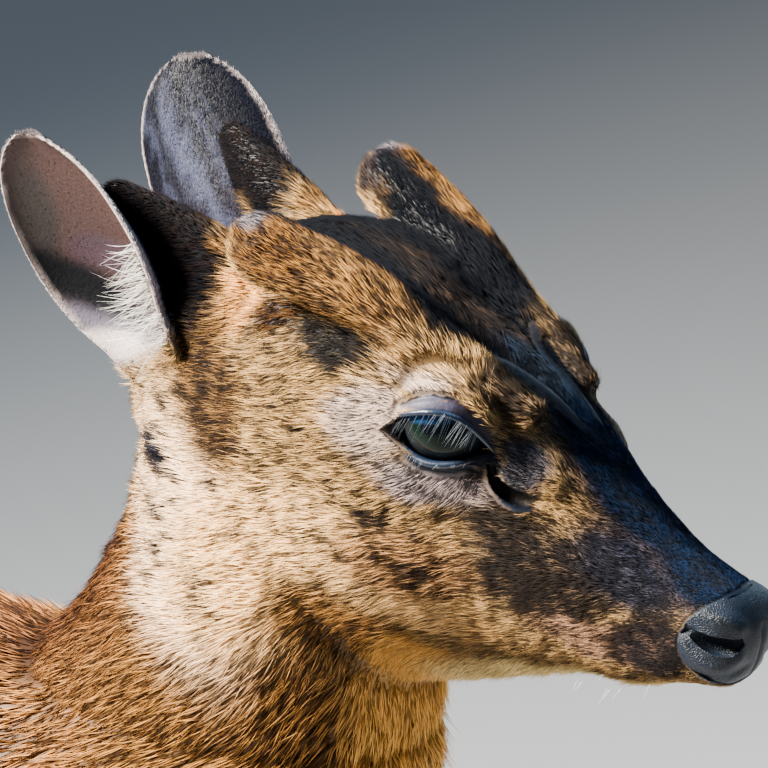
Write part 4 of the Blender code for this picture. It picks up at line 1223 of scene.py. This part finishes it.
def make_lashes(side, word, chance):
    """Pale straight lashes that hang from the upper lid, and a few short ones below."""
    path = smooth_rows(head_points(LID_UPPER), 10)
    roots, ways, falls, lengths, widths = [], [], [], [], []
    for _ in range(54):
        t = chance.uniform(0.02, 0.80)
        root = path[int(t * (len(path) - 1))] + EYE_GAZE * 1.1 + chance.normal(0, 0.25, 3)
        way = EYE_GAZE * 0.5 + np.array((-0.15 - 0.3 * t, 0.2, -0.75)) + chance.normal(0, 0.10, 3)
        roots.append(root)
        ways.append(way)
        falls.append(np.array((-0.05, 0.05, -0.25)))
        lengths.append(chance.uniform(4.0, 7.5) * (1.1 - 0.5 * abs(t - 0.35)))
        widths.append(chance.uniform(0.09, 0.14))
    path = smooth_rows(head_points(LID_LOWER), 10)
    for _ in range(26):
        t = chance.uniform(0.1, 0.8)
        roots.append(path[int(t * (len(path) - 1))] + EYE_GAZE * 1.0)
        ways.append(EYE_GAZE * 0.6 + np.array((-0.3, 0.3, -0.7)) + chance.normal(0, 0.1, 3))
        falls.append(np.array((0, 0, -0.1)))
        lengths.append(chance.uniform(1.6, 3.2))
        widths.append(0.15)
    made = strands("lashes_" + word, *(mirrored(v, side) for v in (roots, ways, falls)), lengths, widths)
    return made


def make_ear_hairs(side, word, chance):
    """Long white hairs that spring from the ear's front edge and cross its hollow."""
    roots, ways, falls, lengths, widths = [], [], [], [], []
    for _ in range(260):
        share = 0.05 + 0.36 * chance.random() ** 1.2
        centre, along, facing, across = ear_frame(share)
        half = np.interp(share, [row[0] for row in EAR_SECTIONS], [row[1] for row in EAR_SECTIONS])
        front = -1 if across[0] < 0 else 1
        root = centre + across * front * (half - 1.4) + facing * 0.2 + chance.normal(0, 0.5, 3)
        roots.append(root)
        ways.append(-across * front + facing * chance.uniform(0.0, 0.45) + along * chance.normal(0.1, 0.25))
        falls.append(-facing * 0.06 + along * chance.normal(0.0, 0.12))
        lengths.append(chance.uniform(6, 26) * (1.1 - 1.4 * share))
        widths.append(chance.uniform(0.10, 0.18))
    return strands("ear_hairs_" + word, *(mirrored(v, side) for v in (roots, ways, falls)), lengths, widths)


def make_whiskers(side, word, chance):
    """Sparse stiff hairs on the lips, chin, brow and cheek."""
    roots, ways, falls, lengths, widths = [], [], [], [], []
    beds = (
        ((-34, 16.4, 489), (9, 0.3, 3), (-0.3, 0.6, -0.5), 5, (3, 6)),
        ((-40, 9.5, 484.5), (18, 3, 0.4), (-0.5, 0.2, -0.8), 8, (2, 4)),
    )
    for centre, spread, way, count, reach in beds:
        for _ in range(count):
            roots.append(np.array(centre) + chance.uniform(-1, 1, 3) * spread)
            ways.append(np.array(way) + chance.normal(0, 0.14, 3))
            falls.append(np.array((-0.15, 0.0, -0.12)))
            lengths.append(chance.uniform(*reach))
            widths.append(chance.uniform(0.09, 0.15))
    return strands("whiskers_" + word, *(mirrored(v, side) for v in (roots, ways, falls)), lengths, widths, steps=6)


def make_nose():
    """The bare pad: the muzzle's end with raised wings round deep comma nostrils and a groove between them."""
    pieces = [upright_loft("muzzle_end", [row for row in HEAD_SECTIONS if row[0] >= -34], NOSE_HEIGHT, around=96)]
    for side, _ in SIDES:
        pieces.append(ball("lip_mass", *FACE_MASSES[2][:2], side, FACE_MASSES[2][2]))
    nose = fused("nose_pad", pieces, NOSE_VOXEL, 60)
    points, normals = points_of(nose)
    place = folded(points)
    height = np.zeros(len(place))
    for line, rise, width in NOSE_FORMS:
        away, _ = distance_to(place, smooth_rows(head_points(line), 4))
        height += rise * np.exp(-((away / width) ** 2))
    height -= 0.8 * np.exp(-((place[:, 1] / 0.8) ** 2)) * ramp(-place[:, 2], -NOSE_HEIGHT + 2, -NOSE_HEIGHT + 6)
    moved(nose, points + normals * (height - 0.3)[:, None])
    cutters = [tube("nostril", head_points(NOSTRIL_PATH), NOSTRIL_RADII, side) for side, _ in SIDES]
    for side, _ in SIDES:
        cutters.append(tube("mouth", head_points(MOUTH_LINE[:4]), [0.6] * 4, side))
    combined(nose, cutters, "DIFFERENCE")
    combined(nose, [ball("pad_edge", NOSE_PAD_CENTRE, NOSE_PAD_RADII)], "INTERSECT")
    return shaped_by(nose, "SMOOTH", factor=0.5, iterations=2)


# Lines raised or sunk on the nose: the wing over the nostril, its lower lip, and the folds round them.
NOSE_FORMS = (
    (((-17, 12.5, 2.5), (-12, 12.6, 0.8), (-8.5, 11.8, 0.2), (-5.5, 10.5, -0.4), (-2.7, 9, -2)), 1.7, 2.8),
    (((-17, 15.2, -7.5), (-15, 15.2, -11), (-11, 14.4, -13.5), (-6.6, 12.6, -14), (-2.8, 9.4, -11.6)), 0.9, 2.2),
    (((-20.8, 15.2, 2.5), (-19.4, 15.4, -1.5), (-18.6, 15.6, -3.6), (-14.5, 15.0, -4.2)), -1.0, 1.1),
    (((-17.6, 13.9, -17.5), (-11.5, 12.8, -17.8), (-6, 10.2, -17.4), (-1.5, 5, -15.5)), -0.5, 1.2),
)


def make_hoof(name, x, side, toe):
    """One toe: a pointed sole that stands flat, with walls that slope in to the coronet."""
    middle = (x, side * (FOOT_Y + toe * TOE_SPACING / 2), HOOF_HEIGHT / 2)
    bpy.ops.mesh.primitive_cylinder_add(
        vertices=48, radius=MM, depth=HOOF_HEIGHT * MM, location=np.array(middle) * MM + SHIFT
    )
    hoof = bpy.context.object
    hoof.name = name
    bpy.ops.object.transform_apply(location=True, rotation=True, scale=True)
    bpy.ops.object.mode_set(mode="EDIT")
    bpy.ops.mesh.select_all(action="SELECT")
    for height in (1.5, 5, 9, 13, 17):
        bpy.ops.mesh.select_all(action="SELECT")
        bpy.ops.mesh.bisect(plane_co=np.array((0, 0, height)) * MM + SHIFT, plane_no=(0, 0, 1))
    bpy.ops.object.mode_set(mode="OBJECT")
    points, _ = points_of(hoof)
    height = points[:, 2]
    length = np.interp(height, (0, 1.5, 9, 17, HOOF_HEIGHT), (0.985, 1.0, 0.90, 0.74, 0.66))
    width = np.interp(height, (0, 1.5, 9, 17, HOOF_HEIGHT), (0.93, 1.0, 1.0, 0.94, 0.86))
    shift = np.interp(height, (0, 1.5, 9, 17, HOOF_HEIGHT), (0, 0, -1.6, -4.2, -5.6))
    c, s = points[:, 0] - middle[0], points[:, 1] - middle[1]
    taper = np.where(c < 0, 1.0, 1 - 0.45 * c**2)
    made = np.column_stack(
        [
            middle[0] + shift + HOOF_LENGTH / 2 * length * c,
            middle[1] + TOE_WIDTH / 2 * width * np.sign(s) * np.abs(s) ** 0.8 * taper,
            height,
        ]
    )
    moved(hoof, made)
    hoof.data.shade_smooth()
    hoof.data.set_sharp_from_angle(angle=math.radians(50))
    return hoof


def make_dewclaw(name, centre, side):
    claw = ball(name, centre, DEWCLAW_SIZE, side, -20, rings=16)
    points, _ = points_of(claw)
    low = ramp(points[:, 2], centre[2] + 1, centre[2] - DEWCLAW_SIZE[2])
    points[:, 0] += low * 1.2
    moved(claw, points)
    claw.data.shade_smooth()
    return claw


# Materials


class Value:
    """One output in a material's node graph, so that shader maths reads as plain sums."""

    def __init__(self, graph, socket):
        self.graph = graph
        self.socket = socket

    def maths(self, operation, first, second):
        return self.graph.node("ShaderNodeMath", {"operation": operation}, {0: first, 1: second})

    def __add__(self, other):
        return self.maths("ADD", self, other)

    def __radd__(self, other):
        return self.maths("ADD", other, self)

    def __sub__(self, other):
        return self.maths("SUBTRACT", self, other)

    def __rsub__(self, other):
        return self.maths("SUBTRACT", other, self)

    def __mul__(self, other):
        return self.maths("MULTIPLY", self, other)

    def __rmul__(self, other):
        return self.maths("MULTIPLY", other, self)

    def __truediv__(self, other):
        return self.maths("DIVIDE", self, other)

    def __pow__(self, other):
        return self.maths("POWER", self, other)

    def __lt__(self, other):
        return self.maths("LESS_THAN", self, other)

    def __gt__(self, other):
        return self.maths("GREATER_THAN", self, other)


class Graph:
    """A material whose nodes are added one call at a time."""

    def __init__(self, name, **constants):
        self.material = bpy.data.materials.new(name)
        self.material.use_nodes = True
        self.tree = self.material.node_tree
        self.shader = self.tree.nodes["Principled BSDF"]
        for key, value in constants.items():
            self.feed(self.shader.inputs[key.replace("_", " ")], value)

    def feed(self, socket, value):
        if isinstance(value, Value):
            self.tree.links.new(value.socket, socket)
        elif socket.type == "RGBA":
            socket.default_value = (*value[:3], 1)
        else:
            socket.default_value = value

    def node(self, kind, settings=None, values=None, output=0):
        """Adds a node: its settings first, then numbers or links on its sockets."""
        made = self.tree.nodes.new(kind)
        for key, value in (settings or {}).items():
            if key == "stops":
                for i, (place, colour) in enumerate(value):
                    stop = made.color_ramp.elements[i] if i < 2 else made.color_ramp.elements.new(place)
                    stop.position = place
                    stop.color = (*colour, 1) if hasattr(colour, "__len__") else (colour, colour, colour, 1)
            else:
                setattr(made, key, value)
        for key, value in (values or {}).items():
            self.feed(made.inputs[key], value)
        return Value(self, made.outputs[output])

    def mix(self, share, first, second):
        return self.node("ShaderNodeMix", {"data_type": "RGBA"}, {0: share, 6: first, 7: second}, 2)

    def tinted(self, colour, strength):
        """A colour made lighter or darker by a value."""
        return self.node("ShaderNodeVectorMath", {"operation": "SCALE"}, {0: colour, 3: strength})

    def ramp(self, value, *stops):
        return self.node("ShaderNodeValToRGB", {"stops": stops}, {0: value})

    def clamp(self, value, low=0.0, high=1.0):
        return self.node("ShaderNodeClamp", {}, {0: value, 1: low, 2: high})

    def coordinates(self):
        return self.node("ShaderNodeTexCoord", {}, {}, 3)

    def noise(self, scale, detail=3, place=None, roughness=0.5):
        """Grain with features about 1/scale metres across."""
        values = {"Vector": place or self.coordinates(), "Scale": scale, "Detail": detail, "Roughness": roughness}
        return self.node("ShaderNodeTexNoise", {}, values)

    def cells(self, scale, place=None):
        values = {"Vector": place or self.coordinates(), "Scale": scale}
        return self.node("ShaderNodeTexVoronoi", {"feature": "DISTANCE_TO_EDGE"}, values)

    def bumped(self, height, strength, distance):
        values = {"Height": height, "Strength": strength, "Distance": distance * MM}
        self.feed(self.shader.inputs["Normal"], self.node("ShaderNodeBump", {}, values))

    def paint(self, colour):
        self.feed(self.shader.inputs["Base Color"], colour)
        return self.material


# Near-black hair, its slight blue tint painted sheen.
DARK_HAIR_BLUE_SHEEN = (0.0010, 0.0016, 0.0034)


def coat_finish():
    """Hair whose base is dark and whose light band and dark tip change from tuft to tuft."""
    graph = Graph("coat_hair", Roughness=0.6, Specular_IOR_Level=0.05)
    light = graph.node("ShaderNodeAttribute", {"attribute_name": "marking"}, {}, 0)
    dark_share = graph.node("ShaderNodeAttribute", {"attribute_name": "marking"}, {}, 3)
    hair = graph.node("ShaderNodeAttribute", {"attribute_name": "hair"}, {}, 1)
    luck = graph.node("ShaderNodeSeparateXYZ", {}, {0: hair}, 0)
    along = graph.node("ShaderNodeSeparateXYZ", {}, {0: hair}, 1)
    second = graph.node("ShaderNodeSeparateXYZ", {}, {0: hair}, 2)
    dark = graph.clamp((dark_share * 1.15 - luck) * 6 + 0.5)
    tip = graph.clamp((along - 0.80) * 6) * dark_share
    root = graph.clamp(1 - along * 2.2) * 0.75
    shade = graph.tinted(light, 0.60 + second * 0.76)
    colour = graph.mix(dark * 0.96, shade, graph.mix(0.05, DARK_HAIR_BLUE_SHEEN, light))
    colour = graph.mix(tip * 0.6, colour, DARK_HAIR_BLUE_SHEEN)
    colour = graph.mix(root, colour, graph.tinted(light, 0.22))
    return graph.paint(colour)


def skin_finish():
    """Skin and undercoat: the coat's markings, darker, with a grain of lying hair, and bare places."""
    graph = Graph("skin", Roughness=0.5, Specular_IOR_Level=0.2)
    light = graph.node("ShaderNodeAttribute", {"attribute_name": "marking"}, {}, 0)
    dark_share = graph.node("ShaderNodeAttribute", {"attribute_name": "marking"}, {}, 3)
    nude = graph.node("ShaderNodeAttribute", {"attribute_name": "bare"}, {}, 2)
    grain = graph.noise(900, 4)
    fine = graph.noise(2600, 2)
    under = graph.mix(graph.clamp(dark_share * 1.1 + grain * 0.2), graph.tinted(light, 0.5), DARK_HAIR_BLUE_SHEEN)
    hide = graph.tinted(light, 0.72 + grain * 0.55)
    graph.bumped(grain + fine * 0.5, 0.5, 0.3)
    return graph.paint(graph.mix(nude, under, hide))


def rim_finish():
    graph = Graph("lid_skin", Roughness=0.34)
    grain = graph.noise(1400, 3)
    graph.bumped(grain, 0.5, 0.2)
    return graph.paint(graph.mix(grain, (0.003, 0.008, 0.020), (0.010, 0.022, 0.050)))


def eye_finish(side, word):
    """A dark horizontal pupil in an olive-brown iris with fine rays, with a blue sky reflection painted over its upper
    part, under a wet clear front.
    """
    graph = Graph("eye_" + word, Roughness=0.05, IOR=1.33, Specular_IOR_Level=0.15)
    centre = mirrored(EYE_CENTRE, side) * MM + SHIFT
    gaze = mirrored(EYE_GAZE, side)
    level = unit(np.cross((0, 0, 1.0), gaze) + (0, 0, 0.12))
    rise = np.cross(gaze, level)
    place = graph.node("ShaderNodeVectorMath", {"operation": "SUBTRACT"}, {0: graph.coordinates(), 1: centre})
    across = graph.node("ShaderNodeVectorMath", {"operation": "DOT_PRODUCT"}, {0: place, 1: level / MM}, 1)
    up = graph.node("ShaderNodeVectorMath", {"operation": "DOT_PRODUCT"}, {0: place, 1: rise / MM}, 1)
    reach = (across * across + up * up) ** 0.5
    pupil = ((across / 4.6) ** 2 + (up / 2.6) ** 2) ** 0.5
    turn = graph.node("ShaderNodeMath", {"operation": "ARCTAN2"}, {0: up, 1: across})
    rays = graph.node("ShaderNodeCombineXYZ", {}, {0: turn * 9, 1: reach * 0.35})
    streak = graph.noise(1.6, 4, rays)
    iris = graph.mix(streak, (0.001, 0.003, 0.003), (0.005, 0.015, 0.008))
    iris = graph.mix(graph.clamp((reach - 7.4) * 0.6), iris, (0.012, 0.014, 0.016))
    colour = graph.mix(graph.clamp(1 - (pupil - 0.9) * 4), iris, (0.002, 0.003, 0.005))
    # Painted reflection: a blue sky reflection laid over the upper part of the eye.
    colour = graph.mix(graph.clamp((up - 0.6) * 0.5), colour, (0.010, 0.045, 0.130))
    white = graph.clamp((reach - 10.8) * 1.5)
    return graph.paint(graph.mix(white, colour, (0.006, 0.008, 0.012)))


def nose_finish():
    """Wet dark pebbled skin."""
    graph = Graph("nose_pad_skin", Roughness=0.44, Specular_IOR_Level=0.36)
    place = graph.coordinates()
    warp = graph.noise(500, 2, place)
    pebble = graph.cells(1500, place)
    height = graph.clamp(pebble * 5) + warp * 0.4
    graph.bumped(height, 0.5, 0.25)
    tone = graph.mix(warp, (0.001, 0.003, 0.006), (0.008, 0.016, 0.034))
    return graph.paint(tone)


def horn_finish():
    """Hoof horn: dark, with rings of growth and fine upright fibres."""
    graph = Graph("hoof_horn", Roughness=0.42)
    place = graph.coordinates()
    parts = [graph.node("ShaderNodeSeparateXYZ", {}, {0: place}, i) for i in range(3)]
    rings = graph.node("ShaderNodeMath", {"operation": "SINE"}, {0: parts[2] * 2600 + graph.noise(60, 2, place) * 9})
    fibre = graph.noise(1, 3, graph.node("ShaderNodeCombineXYZ", {}, {0: parts[0] * 1600, 1: parts[1] * 1600, 2: parts[2] * 90}))
    worn = graph.clamp(1 - parts[2] * 260)
    graph.bumped(rings * 0.4 + fibre, 0.5, 0.25)
    tone = graph.mix(fibre, (0.016, 0.013, 0.012), (0.060, 0.048, 0.040))
    return graph.paint(graph.mix(worn * 0.5, tone, (0.10, 0.085, 0.07)))


def strand_finish(name, colour, roughness=0.35):
    graph = Graph(name, Roughness=roughness)
    return graph.paint(graph.mix(graph.noise(300, 2), tuple(0.7 * c for c in colour), colour))


def floor_finish():
    graph = Graph("floor_paint", Roughness=0.7)
    return graph.paint(graph.mix(graph.noise(3, 3), (0.60, 0.60, 0.595), (0.63, 0.63, 0.625)))


def finished(piece, finish, slot, *nodes):
    """Gives a piece its material, hangs it under the root and hides the solids that it stands for; the slot is not
    used.
    """
    piece.data.materials.clear()
    piece.data.materials.append(finish)
    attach(piece, "root")
    if nodes:
        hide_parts(*nodes)
    return piece


def paint_skin(skin):
    """Writes the coat's markings and the bare places on the skin's points."""
    points, normals = points_of(skin)
    folded_normals = fold_normals(points, normals)
    nude, bare_colour = bare_places(points)
    colour = markings(points, folded_normals)
    colour = colour * (1 - nude[:, None]) + bare_colour * nude[:, None]
    nude = np.maximum(nude, in_cup(folded(points), folded_normals))
    tone = skin.data.attributes.new("marking", "FLOAT_COLOR", "POINT")
    tone.data.foreach_set("color", colour.astype(np.float32).ravel())
    shown = skin.data.attributes.new("bare", "FLOAT", "POINT")
    shown.data.foreach_set("value", nude.astype(np.float32))
    skin.data.shade_smooth()


BOTH = ("left", "right")
FLESH = ["head", "neck", "torso", "tail"]
FLESH += [part + "_" + word for part in ("front_leg", "hind_leg", "ear", "pedicle") for word in BOTH]


def make_animal():
    skin = make_skin()
    paint_skin(skin)
    finished(skin, skin_finish(), "coat", *FLESH)
    hair = coat_finish()
    for piece in make_coat(skin):
        finished(piece, hair, "coat")
    nose = make_nose()
    nose.data.shade_smooth()
    finished(nose, nose_finish(), "nose_skin", "nose")
    rim, lash = rim_finish(), strand_finish("lash_hair", (0.30, 0.33, 0.38))
    white = strand_finish("white_hair", (0.85, 0.83, 0.78))
    horn = horn_finish()
    chance = np.random.default_rng(77)
    for side, word in SIDES:
        eye = make_eye(side, word)
        eye.data.shade_smooth()
        finished(eye, eye_finish(side, word), "eye", "eye_" + word)
        rims = make_lid_rims(side, word)
        rims.data.shade_smooth()
        finished(rims, rim, "nose_skin")
        finished(make_lashes(side, word, chance), lash, "coat")
        finished(make_ear_hairs(side, word, chance), white, "ear_coat")
        finished(make_whiskers(side, word, chance), white, "coat")
        for end, x, dewclaw in FEET:
            for toe, place in ((1, "outer"), (-1, "inner")):
                label = "_".join((end, word, place))
                finished(make_hoof("horn_" + label, x, side, toe), horn, "hoof_horn", "hoof_" + label)
                centre = (dewclaw[0], FOOT_Y + toe * dewclaw[1], dewclaw[2])
                claw = make_dewclaw("spur_" + label, centre, side)
                finished(claw, horn, "hoof_horn", "dewclaw_" + label)


# Stage

CAMERA_TURN = 33.0
CAMERA_RISE = 21.0
CAMERA_AWAY = 2.6
PIXELS_PER_METRE = 3560
PICTURE = 768
NOSE_PIXEL = (765, 612)
NOSE_DEPTH = -0.0416
SENSOR = 36.0


def make_floor():
    bpy.ops.mesh.primitive_plane_add(size=9, location=(-1.0, 0.5, 0))
    floor = bpy.context.object
    floor.name = "floor"
    floor.data.materials.append(floor_finish())


def make_camera():
    """A long lens from the right of the nose and above it, aimed so that the nose tip falls at its pixel."""
    turn, rise = math.radians(CAMERA_TURN), math.radians(CAMERA_RISE)
    right = np.array((math.cos(turn), math.sin(turn), 0))
    back = np.array((math.sin(turn) * math.cos(rise), -math.cos(turn) * math.cos(rise), math.sin(rise)))
    up = np.cross(back, right)
    scale = PIXELS_PER_METRE * CAMERA_AWAY / (CAMERA_AWAY + NOSE_DEPTH)
    across = (NOSE_PIXEL[0] - PICTURE / 2) / scale
    above = (PICTURE / 2 - NOSE_PIXEL[1]) / scale
    nose_tip = np.array((0, 0, NOSE_HEIGHT)) * MM + SHIFT
    aim = nose_tip - right * across - up * above + back * NOSE_DEPTH
    data = bpy.data.cameras.new("camera")
    data.sensor_width = SENSOR
    data.lens = PIXELS_PER_METRE * CAMERA_AWAY / PICTURE * SENSOR
    camera = bpy.data.objects.new("camera", data)
    bpy.context.scene.collection.objects.link(camera)
    camera.matrix_world = Matrix(
        [[*(float(v[i]) for v in (right, up, back)), float((aim + back * CAMERA_AWAY)[i])] for i in range(3)]
        + [[0, 0, 0, 1]]
    )
    bpy.context.scene.camera = camera
    return aim, right, up, back


def make_light(name, place, aim, size, power, colour, spread):
    data = bpy.data.lights.new(name, "AREA")
    data.shape = "DISK"
    data.size = size
    data.energy = power
    data.color = colour
    data.spread = math.radians(spread)
    light = bpy.data.objects.new(name, data)
    bpy.context.scene.collection.objects.link(light)
    light.matrix_world = Matrix.Translation(Vector(place)) @ (
        Vector(aim) - Vector(place)
    ).to_track_quat("-Z", "Y").to_matrix().to_4x4()


def make_stage():
    make_floor()
    aim, right, up, back = make_camera()
    key = aim - right * 1.25 + up * 0.85 + back * 0.30
    sky = aim + right * 0.6 + up * 1.7 + back * 0.6
    rim = aim + right * 0.7 + up * 1.1 - back * 1.3
    make_light("key_light", key, aim, 0.42, 68, (1.0, 0.93, 0.82), 95)
    make_light("sky_light", sky, aim, 1.1, 11, (0.34, 0.62, 1.0), 120)
    make_light("rim_light", rim, aim, 1.0, 5, (0.55, 0.78, 1.0), 120)
    world = bpy.data.worlds.new("studio")
    bpy.context.scene.world = world
    world.use_nodes = True
    world.node_tree.nodes["Background"].inputs[0].default_value = (0.86, 0.92, 1.0, 1)
    world.node_tree.nodes["Background"].inputs[1].default_value = 0.12


make_stage()
make_animal()
